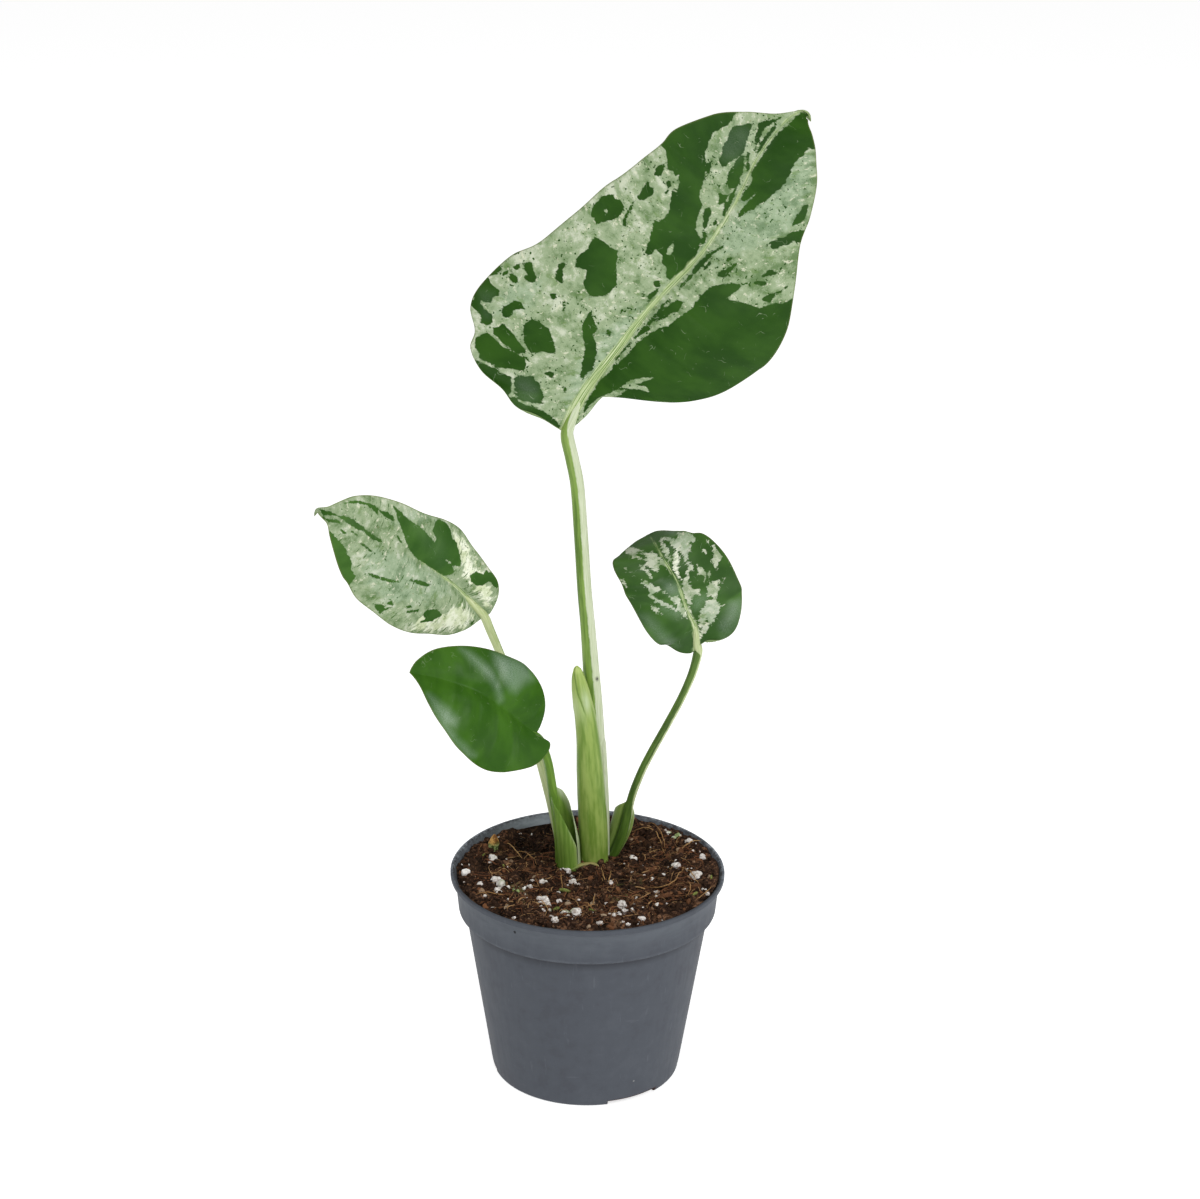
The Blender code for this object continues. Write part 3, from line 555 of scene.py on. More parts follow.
bead = POT_HEIGHT - RIM_BEAD
outer_corners = (
    (0, 0, 0), (WALL_LOW - 0.9, 0, 0.7), (WALL_LOW - 0.5, NOTCH_DEPTH + 0.1, 0),
    (WALL_LOW - 0.4, NOTCH_DEPTH + 0.6, 0), (WALL_LOW, BASE_CORNER, 0.8),
    (WALL_TOP - 0.7, COLLAR_EDGE - 5.5, 0), (WALL_TOP - 0.3, COLLAR_EDGE - 2.6, 0),
    (WALL_TOP, COLLAR_EDGE - 0.7, 0.25), (COLLAR_LOW - 0.1, COLLAR_EDGE, 0.3),
    (COLLAR_LOW + 0.07, COLLAR_EDGE + 1.6, 0), (COLLAR_TOP, bead - 0.3, 0.25),
    (RIM_RADIUS - 0.05, bead, 0.5), (RIM_RADIUS, POT_HEIGHT, 0.6))
inner_corners = ((POT_HEIGHT, 0.6), (bead - 1.5, 0.6), (COLLAR_EDGE + 2, 0.6), (COLLAR_EDGE - 1.2, 0.6),
                 (BASE_CORNER, 0.8), (FLOOR, 0.8))
pot_profile = rounded([*outer_corners, *((inner_radius(z), z, bend) for z, bend in inner_corners),
                       (0, FLOOR, 0)])
print("pot profile has", len(pot_profile), "points, from", pot_profile[0], "to", pot_profile[-1])

# %% Pot with its drain holes and notches
def cutter(name, rings):
    """Closed wedges or rods that only cut."""
    verts, faces = [], []
    for pair in rings:
        v, f = loft(pair)
        faces += [tuple(len(verts) + k for k in face) for face in f]
        verts += [tuple(p) for p in v]
    return make_mesh(name, verts, faces, pot_plastic)


def notch_rings():
    """Outlines of the wedges that cut the notches."""
    spread = np.radians(np.linspace(-NOTCH_HALF, NOTCH_HALF, 12))
    for i in range(NOTCH_COUNT):
        middle = math.radians(NOTCH_FIRST + 360.0 / NOTCH_COUNT * i)
        edge = [(NOTCH_INNER, a) for a in spread] + [(RIM_RADIUS, a) for a in reversed(spread)]
        yield [[(r * math.cos(middle + a), r * math.sin(middle + a), z) for r, a in edge]
               for z in (-2.0, NOTCH_DEPTH)]


def hole_rings():
    """Outlines of the rods that cut the drain holes."""
    turn = full_turn(24)
    for circle, count, offset in HOLE_CIRCLES:
        for i in range(count):
            a = math.radians(NOTCH_FIRST + offset + 360.0 / count * i)
            x, y = circle * math.cos(a), circle * math.sin(a)
            yield [[(x + HOLE_RADIUS * math.cos(t), y + HOLE_RADIUS * math.sin(t), z)
                    for t in turn] for z in (-1.0, FLOOR + 1.0)]


def pot_marks(points):
    """Where the pot gets painted highlights, painted light on its inner wall, grime, a dark line at the
    notches and painted shade under the collar, for its finish.
    """
    x, y, z = points.T
    radius = np.hypot(x, y)
    lip = ramp(z, POT_HEIGHT - 0.9, POT_HEIGHT - 0.2)
    lower = ramp(z, COLLAR_EDGE - 1.1, COLLAR_EDGE - 0.1) * ramp(z, COLLAR_EDGE + 1.0, COLLAR_EDGE)
    outside = ramp(radius, COLLAR_LOW - 0.9, COLLAR_LOW - 0.4)
    under = ramp(z, COLLAR_EDGE - 4.4, COLLAR_EDGE - 1.2) * ramp(z, COLLAR_EDGE + 0.35, COLLAR_EDGE + 0.1)
    apart = 360 / NOTCH_COUNT
    to_notch = np.abs((np.degrees(np.arctan2(y, x)) - NOTCH_FIRST + apart / 2) % apart - apart / 2)
    notched = ramp(to_notch, NOTCH_HALF + 0.6, NOTCH_HALF)
    *lit_inside, lit_reach = INSIDE_LIGHT
    return {
        # painted highlight: the lip's top towards the back, and the collar's lower edge
        "edge": np.maximum(lip * ramp(y, -30, 20), 0.14 * lower * outside),
        # painted light on the inner wall above the mix, most at the back left
        "inside": ramp(radius, RIM_RADIUS - 1.2, RIM_RADIUS - 2.0) * ramp(z, 80, 84)
        * (0.15 + 0.85 * bell(x, y, lit_inside, lit_reach)),
        "grime": lip * ramp(radius, RIM_RADIUS - 0.7, RIM_RADIUS - 1.4) * (1 - 0.3 * ramp(y, -10, 30)),
        # a thin dark brown line along the top edge of each notch
        "notch_line": notched * ramp(z, NOTCH_DEPTH + 0.6, NOTCH_DEPTH + 0.1) * ramp(radius, 39.0, 40.5),
        # painted shade under the collar
        "under": under * ramp(radius, WALL_TOP - 1.2, WALL_TOP - 0.6),
    }


def make_pot():
    """Turns the profile, cuts it and marks it for its finish."""
    blank = make_mesh("pot_blank", *lathe(pot_profile, POT_SEGMENTS), pot_plastic)
    cutters = [cutter("notch_cutter", notch_rings()), cutter("hole_cutter", hole_rings())]
    for tool in cutters:
        cut = blank.modifiers.new(tool.name, 'BOOLEAN')
        cut.operation, cut.solver, cut.object = 'DIFFERENCE', 'EXACT', tool
    view = bpy.context.evaluated_depsgraph_get()
    mesh = bpy.data.meshes.new_from_object(blank.evaluated_get(view))
    for obj in [blank, *cutters]:
        bpy.data.objects.remove(obj)
    mesh.name = "nursery_pot"
    mesh.shade_smooth()
    mesh.set_sharp_from_angle(angle=math.radians(35))
    store(mesh, pot_marks(np.array([v.co for v in mesh.vertices]) / MM))
    settle(new_object("nursery_pot", mesh), "pot", "pot")


make_pot()

# %% [markdown]
# ## The potting mix
#
# The mix is coir and peat: dark, damp, full of crumbs and fibres, with white perlite
# in it. One mesh can't show loose crumbs, so it is built in layers. First comes the
# bed, a disc whose height is a gentle heap plus lumps of three sizes, closed below
# by the shape of the pot's inside. Crumbs, fibres and grit are scattered on it later.
# %% Height of the mix
SOIL_LEVEL = 90.4
SOIL_HEAP = (0.9, 30.0)                   # height and reach of the rise round the stems
SOIL_RISE = (3.4, 24.0, 52.0)             # height of the rise to the wall, where it starts and ends
SOIL_HOLLOW = (-26.0, 32.0, 2.8, 12.6)    # x, y, depth and reach of the dip at the back left
DEEP_HOLLOW = (-22.0, 48.0, 5.6, 9.5)     # x, y, depth and reach of the deepest dip, against the wall, where the painted shade is darkest
MOUND = (6.0, 8.5, -1.6, 8.0)             # mix heaped against the foot of the new leaf
SOIL_TILT = 0.012                         # rise to the right
SOIL_RIPPLE = (0.35, 0.21, 0.17)          # height, and how closely the waves follow in x and in y
CROWN = (0.5, 15.8)                       # x and y of the stems' middle
SOIL_LUMPS = ((10.0, 1.0), (4.2, 1.1), (1.9, 0.6))      # size, height


def soil_height(x, y):
    """Mean top of the mix at (x, y)."""
    ripple, waves_x, waves_y = SOIL_RIPPLE
    height = SOIL_LEVEL + SOIL_HEAP[0] * bell(x, y, CROWN, SOIL_HEAP[1])
    for *middle, depth, reach in (SOIL_HOLLOW, DEEP_HOLLOW, MOUND):
        height = height - depth * bell(x, y, middle, reach)
    height = height + SOIL_RISE[0] * ramp(np.hypot(x, y), *SOIL_RISE[1:])
    return height + SOIL_TILT * x + ripple * np.sin(waves_x * x + 1.3) * np.cos(waves_y * y - 0.6)


def lumpy_height(x, y):
    """Top of the mix with its lumps."""
    flat = in_space(x, y)
    height = soil_height(x, y)
    for seed, (size, rise) in enumerate(SOIL_LUMPS):
        height = height + rise * bumps(flat, size, seed)
    return height


def pit_depth(x, y):
    """0 on the lumps, 1 in the crevices between them and in the hollow; it sets the painted shade."""
    flat = in_space(x, y)
    low = -0.55 * bumps(flat, SOIL_LUMPS[0][0], 0) - bumps(flat, SOIL_LUMPS[1][0], 1)
    pit_shade = ramp(low, 0.05, 0.75)
    for *middle, _, reach in (SOIL_HOLLOW, DEEP_HOLLOW):
        pit_shade = np.maximum(pit_shade, bell(x, y, middle, reach, 4))
    return pit_shade


print("mix at the stems", round(float(soil_height(*CROWN)), 1), "mm, in the hollow",
      round(float(soil_height(*SOIL_HOLLOW[:2])), 1), "mm")

# %% Finish of the mix
def soil_finish():
    """Dark mix whose crumbs go from black over brown to tan, with moss and painted shade in the crevices."""
    mat, tree, shader = new_material("coir_and_peat", 0.95, 0.12)
    place = position(tree)
    tone = mottled(tree, 120.0, 700.0, (20, 12, 7), (57, 40, 30), (138, 102, 76))
    own = attribute(tree, "tone")
    crumb = tinted(tree, own, 0.35, 0.75, tone["Color"], chip(44, 28, 18), 0.65)
    crumb = tinted(tree, own, 0.80, 0.97, crumb, chip(136, 92, 62), 0.75)
    crumb = tinted(tree, own, 0.965, 1.0, crumb, chip(168, 148, 124), 0.9)
    moss = cloud(tree, place, 60.0, 3.0, 0.6)
    scraps = soft_step(tree, cloud(tree, place, 900.0, 2.0), 0.45, 0.6, 0.0, 0.55)
    mossy = times(tree, soft_step(tree, moss, 0.60, 0.70), scraps)
    # painted shade in the crevices and hollows
    crumb = veil(tree, attribute(tree, "pit_shade"), 0.78, crumb, chip(14, 9, 5))
    dress(tree, shader, blend(tree, mossy, crumb, chip(92, 96, 52)), None, tone["Value"], 0.0006, 0.8)
    return mat


soil_mix = soil_finish()
print("mix finish has", len(soil_mix.node_tree.nodes), "nodes")

# %% Bed of mix
BED_RINGS, BED_SEGMENTS = 74, 320
BED_GAP, WALL_GAP = 0.15, 0.45    # clearance to the pot at the top's edge and down the wall
BED_MIDDLE = 0.6                  # radius of the innermost ring


def bed_top():
    """Rings of the bed's top, from the pot's wall to the middle."""
    edge = inner_radius(SOIL_LEVEL + 3) - BED_GAP
    turn = full_turn(BED_SEGMENTS)
    rings = []
    for r in np.linspace(edge, BED_MIDDLE, BED_RINGS):
        x, y = r * np.cos(turn), r * np.sin(turn)
        rings.append(in_space(x, y, lumpy_height(x, y) - 0.6 * ramp(r, edge - 4, edge)))
    return rings


def bed_wall():
    """Rings up the pot's inside, under the top."""
    turn = full_turn(BED_SEGMENTS)
    heights = (FLOOR + 0.35, BASE_CORNER + 0.35, COLLAR_EDGE - 1.2, COLLAR_EDGE + 2.4, POT_HEIGHT - 4.1)
    radii = [inner_radius(z) - WALL_GAP for z in heights]
    return [in_space(r * np.cos(turn), r * np.sin(turn), z) for r, z in zip(radii, heights)]


top_rings = bed_top()
bed_points, bed_faces = loft(bed_wall() + top_rings)
bed_pit = pit_depth(bed_points[:, 0], bed_points[:, 1])
soil_bed = make_mesh("potting_mix", bed_points, bed_faces, soil_mix,
                     {"tone": np.full(len(bed_points), 0.5), "pit_shade": bed_pit})
print("share of the bed that is crevice", round(float((bed_pit > 0.5).mean()), 2))
settle(soil_bed, "potting_soil", "potting_soil")

# %% [markdown]
# ## Scattering with Geometry Nodes
#
# Thousands of crumbs can't be placed by hand. A Geometry Nodes tree spreads points
# over the bed, puts a small shape on each with its own turn, size and tone, and
# bends the result with noise so that no two look alike. The same two helpers build
# and run every tree: the result is turned into a plain mesh, because instances are
# lost when a model is exported.
# %% Geometry Nodes helpers
FULL_TURN = 6.2832            # radians
LIFT = 0.0002                 # height in metres of scattered shapes over the bed


def geometry_tree(name, inputs):
    """An empty geometry tree with named inputs: (name, kind)."""
    tree = bpy.data.node_groups.new(name, 'GeometryNodeTree')
    tree.interface.new_socket("Geometry", in_out='INPUT', socket_type='NodeSocketGeometry')
    for label, kind in inputs:
        tree.interface.new_socket(label, in_out='INPUT', socket_type='NodeSocket' + kind)
    tree.interface.new_socket("Geometry", in_out='OUTPUT', socket_type='NodeSocketGeometry')
    return tree, tree.nodes.new('NodeGroupInput').outputs, tree.nodes.new('NodeGroupOutput').inputs


def grow(name, tree, host, values, slot, *nodes):
    """Runs a tree on a host object and keeps the result as a piece of its own."""
    step = host.modifiers.new(tree.name, 'NODES')
    step.node_group = tree
    for item in tree.interface.items_tree:
        if item.item_type == 'SOCKET' and item.in_out == 'INPUT' and item.name in values:
            step[item.identifier] = values[item.name]
    view = bpy.context.evaluated_depsgraph_get()
    mesh = bpy.data.meshes.new_from_object(host.evaluated_get(view))
    host.modifiers.remove(step)
    mesh.name = name
    settle(new_object(name, mesh), slot, *nodes)


def random_value(tree, kind, low, high, seed):
    """A random number or vector for each point."""
    first, result = {'FLOAT_VECTOR': (0, 0), 'FLOAT': (2, 1)}[kind]
    return add(tree, 'FunctionNodeRandomValue', {first: low, first + 1: high, 8: seed},
               data_type=kind).outputs[result]


def scaled(tree, vector, amount):
    """A vector times a number."""
    return add(tree, 'ShaderNodeVectorMath', {0: vector, 3: amount}, operation='SCALE').outputs[0]


def jitter(tree, geometry, scale, amount):
    """Pushes points about by smooth noise, so that repeated shapes differ."""
    tint = add(tree, 'ShaderNodeTexNoise', {"Scale": scale, "Detail": 1.0}).outputs["Color"]
    centred = add(tree, 'ShaderNodeVectorMath', {0: tint, 1: (0.5, 0.5, 0.5)}, operation='SUBTRACT')
    offset = scaled(tree, centred.outputs[0], amount)
    return add(tree, 'GeometryNodeSetPosition', {"Geometry": geometry, "Offset": offset}).outputs[0]


def scatter(tree, given, shape, stretch_low, stretch_high, tilt, bend_scale, bend_amount):
    """Puts shape on random points of the host, turned, sized, toned and bent."""
    points = add(tree, 'GeometryNodeDistributePointsOnFaces',
                 {"Mesh": given["Geometry"], "Density": given["Density"], "Seed": given["Seed"]},
                 distribute_method='RANDOM').outputs["Points"]
    turn = random_value(tree, 'FLOAT_VECTOR', (-tilt, -tilt, 0.0), (tilt, tilt, FULL_TURN), 11)
    turn = add(tree, 'FunctionNodeEulerToRotation', {0: turn}).outputs[0]
    stretch = random_value(tree, 'FLOAT_VECTOR', stretch_low, stretch_high, 12)
    size = random_value(tree, 'FLOAT', given["Smallest"], given["Largest"], 13)
    placed = add(tree, 'GeometryNodeInstanceOnPoints',
                 {"Points": points, "Instance": shape, "Rotation": turn,
                  "Scale": scaled(tree, stretch, size)}).outputs[0]
    tone = random_value(tree, 'FLOAT', 0.0, 1.0, 14)
    toned = add(tree, 'GeometryNodeStoreNamedAttribute',
                {"Geometry": placed, "Name": "tone", "Value": tone}, data_type='FLOAT',
                domain='INSTANCE').outputs[0]
    lifted = add(tree, 'GeometryNodeTranslateInstances',
                 {"Instances": toned, "Translation": (0.0, 0.0, LIFT), "Local Space": False}).outputs[0]
    real = add(tree, 'GeometryNodeRealizeInstances', {0: lifted}).outputs[0]
    return jitter(tree, real, bend_scale, bend_amount)


def hand_out(tree, given, result, geometry):
    """Ends a tree: the shape gets its finish and goes out."""
    dressed = add(tree, 'GeometryNodeSetMaterial', {"Geometry": geometry, "Material": given["Finish"]})
    tree.links.new(dressed.outputs[0], result["Geometry"])
    return tree


def sprinkle(name, tree, host, density, sizes, seed, finish, slot, *nodes):
    """Runs a scatter tree: grains per square metre, and smallest and largest in metres."""
    values = {"Density": density, "Smallest": sizes[0], "Largest": sizes[1], "Seed": seed, "Finish": finish}
    grow(name, tree, host, values, slot, *nodes)


scatter_inputs = [("Density", 'Float'), ("Smallest", 'Float'), ("Largest", 'Float'), ("Seed", 'Int'),
                  ("Finish", 'Material')]
print("every scatter tree has the inputs", [label for label, _ in scatter_inputs])

# %% Crumbs
def crumb_tree(name, subdivisions):
    """Rough angular crumbs: flattened icospheres pushed about by noise."""
    tree, given, result = geometry_tree(name, scatter_inputs)
    ball = add(tree, 'GeometryNodeMeshIcoSphere', {"Radius": 0.5, "Subdivisions": subdivisions}).outputs[0]
    rough = scatter(tree, given, ball, (0.7, 0.45, 0.35), (1.4, 1.0, 0.9), 0.9, 850.0, 0.0011)
    return hand_out(tree, given, result, rough)


def scatter_surface(name, rings):
    """The bed's top as an open sheet that only carries what is scattered on it."""
    points, faces = loft(rings)
    # the sheet carries the painted shade amount on to the crumbs and fibres
    return make_mesh(name, points, faces[:-2], soil_mix, {"pit_shade": pit_depth(points[:, 0], points[:, 1])})


surface = scatter_surface("scatter_surface", top_rings[2:])
middle_surface = scatter_surface("middle_surface", top_rings[9:])
for name, kind, subdivisions, density, sizes, seed in (
        ("soil_crumbs", "crumbs", 2, 110000.0, (0.0014, 0.0042), 3),
        ("soil_grit", "grit", 1, 420000.0, (0.0006, 0.0017), 5)):
    sprinkle(name, crumb_tree(kind, subdivisions), surface, density, sizes, seed, soil_mix, "potting_soil")

# %% Fibres
def fibre_tree():
    """Coir fibres: thin bent tubes that lie on and in the mix."""
    tree, given, result = geometry_tree("fibres", scatter_inputs)
    bow = add(tree, 'GeometryNodeCurveQuadraticBezier',
              {"Resolution": 6, "Start": (-0.5, 0.0, 0.0), "Middle": (0.0, 0.28, 0.06),
               "End": (0.5, 0.0, 0.0)}).outputs[0]
    edge = add(tree, 'GeometryNodeCurvePrimitiveCircle', {"Resolution": 3, "Radius": 0.026}).outputs[0]
    strand = add(tree, 'GeometryNodeCurveToMesh',
                 {"Curve": bow, "Profile Curve": edge, "Fill Caps": True}).outputs[0]
    bent = scatter(tree, given, strand, (0.6, 0.4, 0.5), (1.3, 1.6, 1.6), 0.42, 190.0, 0.0026)
    return hand_out(tree, given, result, bent)


def fibre_finish():
    """Brown to tan, with painted shade where a fibre lies in a crevice."""
    mat, tree, shader = new_material("coir_fibre", 0.8, 0.2)
    own = attribute(tree, "tone")
    brown = tinted(tree, own, 0.15, 0.6, chip(46, 28, 17), chip(118, 76, 50))
    tan = tinted(tree, own, 0.70, 0.95, brown, chip(178, 140, 96))
    patchy = soft_step(tree, cloud(tree, position(tree), 420.0, 3.0), 0.45, 0.65, 0.0, 0.45)
    mixed = blend(tree, patchy, tan, chip(58, 38, 24))
    # painted shade in the crevices
    dress(tree, shader, veil(tree, attribute(tree, "pit_shade"), 0.6, mixed, chip(20, 12, 7)))
    return mat


sprinkle("coir_fibres", fibre_tree(), middle_surface, 360000.0, (0.0024, 0.0090), 8, fibre_finish(), "coir")

# %% [markdown]
# ## Perlite
#
# Perlite is volcanic glass that was heated until it popped, like maize: white, light
# and full of pits. The large grains lie where a hand would notice them, so they come
# from a short list. Each is a fine icosphere whose radius follows noise, with a few
# small grains crumbled off beside it.
# %% Perlite grains
PERLITE = (                   # x, y, size
    (20, 15.5, 3.8), (40, 34, 2.8), (45, 27.5, 3.0), (50.5, 12.5, 2.8), (39, 6, 4.2), (48, -4.5, 4.6),
    (36, 36, 2.0), (28.5, -4.5, 2.2), (30, -16, 2.4), (15, -30.5, 3.6), (13.5, -41.5, 3.4), (16.5, -36, 2.6),
    (-4.5, -41.5, 3.6), (-13.5, -49, 3.4), (-9.5, -39.5, 3.4), (-19, -25.5, 4.7), (-16.5, -28, 2.8),
    (-6.5, -5.5, 3.4), (-9.5, 4.5, 3.4), (-37.5, -13, 4.8), (-38.5, -19, 4.0), (-40, -8, 3.4),
    (-53, -5, 3.6), (-42, 12, 3.8),
)
SMALL_PERLITE = (
    (46.5, 17.5, 1.4), (40.5, 17.5, 1.2), (28, -20, 1.4), (10, -6.5, 2.2), (33.5, -32.5, 2.6),
    (30.5, -34.5, 2.0), (24, -36, 1.2), (19.5, -37, 1.8), (10, -40, 1.6), (9, -47, 1.8), (11.5, -45, 1.9),
    (23.5, -46.5, 2.6), (5.5, -50, 2.4), (2, -39, 2.2), (-12, -24, 2.4), (-19, -36, 2.3), (-16, -34, 2.0),
    (-20, -5.5, 2.4), (-18.5, -6, 2.0), (-21.5, -5, 1.8), (-34.5, -14, 2.0), (-46, -16.5, 2.6),
    (-28, -12, 2.6), (-30, -17.5, 2.6), (-25, -10.5, 2.0), (-32, -14, 1.3), (-27, -19, 1.4), (-31, -44, 1.4),
    (-44, -25, 1.4), (-34, -28, 1.5), (-26, -22.5, 1.1), (-24, -4.5, 1.6), (-12.5, -16.5, 2.2),
    (21.5, -50, 1.4), (17.5, -53, 1.6), (3.5, -16.5, 1.3), (52, -22.5, 1.6), (36, 34, 1.2),
)
PERLITE_NODES = 20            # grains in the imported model
ALGAE = (-12,-33, -9,-39, -34,-14, -30.5,-17, -37,6, 40,34.5, 2,-35, 54,-8, 46,-24)      # x,y
ALGAE_REACH = 5.5
MIX_REACH = 53                # no crumb of perlite lies further out
CRUMBLED = 3                  # small grains beside each large one


def ball(subdivisions):
    """Points and faces of an icosphere of radius 0.5."""
    work = bmesh.new()
    bmesh.ops.create_icosphere(work, subdivisions=subdivisions, radius=0.5)
    points = np.array([v.co for v in work.verts])
    faces = [tuple(v.index for v in face.verts) for face in work.faces]
    work.free()
    return points, faces


def grain(x, y, size, seed, subdivisions, sink):
    """One pitted grain, resting in the mix."""
    points, faces = ball(subdivisions)
    radius = 1 + 0.42 * bumps(points, 0.40, seed) - 0.24 * np.maximum(bumps(points, 0.13, seed + 1), 0)
    squash = 1 + 0.22 * np.sin((seed, 2.3 * seed, 4.1 * seed))
    points = points * radius[:, None] * size * 1.15 * squash * (1.0, 0.95, 0.85)
    level = float(lumpy_height(np.array([x]), np.array([y]))[0])
    return points + (x, y, level + size * (0.5 - sink)), faces


def join_shapes(shapes):
    """Many small shapes as one list of points and faces."""
    verts, faces = [], []
    for points, own in shapes:
        faces += [tuple(len(verts) + k for k in face) for face in own]
        verts += [tuple(p) for p in points]
    return verts, faces


def perlite_shapes():
    """Large grains, each with its crumbs, and then the small ones."""
    rng = np.random.default_rng(41)
    for i, (x, y, size) in enumerate(PERLITE):
        yield grain(x, y, size, 10 + 2 * i, 4, 0.28)
        for _ in range(CRUMBLED):
            away = np.array((x, y)) + rng.normal(0, 3.2, 2)
            if np.hypot(*away) < MIX_REACH:
                yield grain(*away, rng.uniform(0.7, 1.8), int(rng.integers(999)), 2, 0.3)
    for i, (x, y, size) in enumerate(SMALL_PERLITE):
        yield grain(x, y, size, 60 + 2 * i, 3, 0.30)


def near_spots(points, spots, reach):
    """1 at the listed x,y spots, fading to 0 at reach."""
    away = np.min([np.hypot(points[:, 0] - x, points[:, 1] - y) for x, y in pairs(spots)], axis=0)
    return ramp(away, reach, 0.4 * reach)


def perlite_finish():
    """Chalky white, dirty in places, and green near the algae."""
    mat, tree, shader = new_material("perlite_white", 0.95, 0.2)
    place = position(tree)
    tone = mottled(tree, 160.0, 1100.0, (160, 148, 140), (222, 216, 210), (250, 248, 244))
    algae = soft_step(tree, cloud(tree, place, 300.0, 2.0), 0.4, 0.6)
    algae = times(tree, attribute(tree, "algae"), algae)
    dirty = soft_step(tree, cloud(tree, place, 500.0, 3.0), 0.56, 0.72, 0.0, 0.6)
    greened = blend(tree, algae, tone["Color"], chip(150, 168, 108))
    dress(tree, shader, blend(tree, dirty, greened, chip(120, 98, 80)), None, tone["Value"], 0.0003, 0.7)
    return mat


perlite_white = perlite_finish()
grains, grain_faces = join_shapes(perlite_shapes())
near_algae = near_spots(np.array(grains), ALGAE, ALGAE_REACH)
perlite = make_mesh("perlite", grains, grain_faces, perlite_white, {"algae": near_algae}, sharp=50)
settle(perlite, "perlite", *(f"perlite_{i:02d}" for i in range(PERLITE_NODES)))
sprinkle("fine_perlite", crumb_tree("fine_perlite", 2), surface, 7000.0, (0.0007, 0.0018), 21,
         perlite_white, "perlite")

# %% [markdown]
# ## Coir chips
#
# Six larger flakes of coconut husk lie on the mix. A flake is torn along its grain,
# so its ends are ragged and its faces are nearly flat: a stretched icosphere, made
# flat with a power curve and torn at its ends with noise.
# %% Chips
CHIPS = ((34, -22, 20, 7), (-31, -22, 130, 6), (-44, 22, 80, 6), (26, 6, 150, 9), (1, -28, 10, 7),
         (20, 34, 5, 7))                   # x, y, turn, length
FLAKE_WIDTH, FLAKE_THICKNESS = 0.32, 1.1   # share of the length, and millimetres
FLAKE_LIFT = 0.7                           # height of a flake's middle over the mix


def flake(index, x, y, turn, length):
    """A flat torn flake, lying on the mix; its index varies the tearing."""
    points, faces = ball(3)
    points = np.sign(points) * (2 * np.abs(points))**(0.6, 0.6, 0.5) * 0.5
    torn = 1 + 0.28 * bumps(points * (1, 5, 5), 0.35, 60 + index)
    points = points * (length, length * FLAKE_WIDTH, FLAKE_THICKNESS) * torn[:, None]
    points[:, 2] += 0.5 * np.sin(points[:, 0] * 0.6 + index)
    a = math.radians(turn)
    spin = np.array(((math.cos(a), -math.sin(a), 0), (math.sin(a), math.cos(a), 0), (0, 0, 1)))
    return points @ spin.T + (x, y, float(soil_height(x, y)) + FLAKE_LIFT), faces


husk = mottled_finish("coconut_husk", 0.9, 0.15, 300.0, 1500.0, (52, 32, 20), (92, 60, 40), (132, 92, 62))
chips = make_mesh("coir_chips", *join_shapes(flake(i, *c) for i, c in enumerate(CHIPS)), husk)
settle(chips, "coir", *(f"coir_chip_{i:02d}" for i in range(len(CHIPS))))

# %% [markdown]
# ## Moss and an old bud
#
# Where the mix stays damp, scraps of moss and algae grow, and at the left stands the
# stub of an old bud, dry and orange at its tip and still green at its foot.
# %% Moss scraps and the bud
MOSS = ((-9.5, -15, 165, 5.6), (-13, -33.5, 60, 4.6), (-7.5, -40, 20, 3.8), (2.5, -35, 140, 4.0),
        (-17.5, -31, 100, 3.2), (54, -8, 90, 2.6), (46.5, -24, 40, 3.0), (-37, 6, 100, 2.6),
        (-31, -17, 30, 3.4), (40, 35.5, 150, 2.2), (-46, 15, 70, 2.6))      # x, y, turn, length
BUD = (-42.2, 21.5, 2.3, 9.0)          # x, y, radius, height
BUD_RINGS, BUD_SIDES = 14, 24


def bud_shape():
    """A blunt, slightly bent cone with ribs, as rings from its foot to its tip."""
    x, y, radius, height = BUD
    foot = float(soil_height(x, y)) - 1.0
    turn = full_turn(BUD_SIDES)
    shares = np.linspace(0, 1, BUD_RINGS)
    rings = []
    for share in shares:
        wide = radius * (1 - 0.12 * np.sin(9 * share)) * np.sqrt(max(1 - share**3, 0.015))
        around = wide * (1 + 0.08 * np.cos(5 * turn + 2 * share))
        rings.append(in_space(x + 0.8 * share + around * np.cos(turn),
                              y - 1.2 * share + around * np.sin(turn), foot + height * share))
    return *loft(rings), {"share": np.repeat(shares, BUD_SIDES)}


def bud_finish():
    """Green at the foot, dry and orange at the tip."""
    mat, tree, shader = new_material("old_bud", 0.7, 0.3)
    share = attribute(tree, "share")
    tint = cloud(tree, position(tree), 700.0, 3.0, 0.6)
    mixed = times_plus(tree, tint, 0.5, calc(tree, 'SUBTRACT', share, 0.25))
    green = tinted(tree, tint, 0.42, 0.58, chip(84, 96, 44), chip(164, 184, 120))
    dry = tinted(tree, tint, 0.42, 0.58, chip(120, 78, 34), chip(204, 158, 86))
    dress(tree, shader, tinted(tree, mixed, 0.40, 0.66, green, dry), None, tint, 0.0005, 0.7)
    return mat


moss_green = mottled_finish("moss_scrap", 0.9, 0.15, 200.0, 1400.0, (62, 66, 26), (112, 122, 58),
                            (166, 170, 104))
moss = make_mesh("moss_scraps", *join_shapes(flake(20 + i, *m) for i, m in enumerate(MOSS)), moss_green)
settle(moss, "coir")
points, faces, marks = bud_shape()
settle(make_mesh("old_bud", points, faces, bud_finish(), marks), "old_sheath")
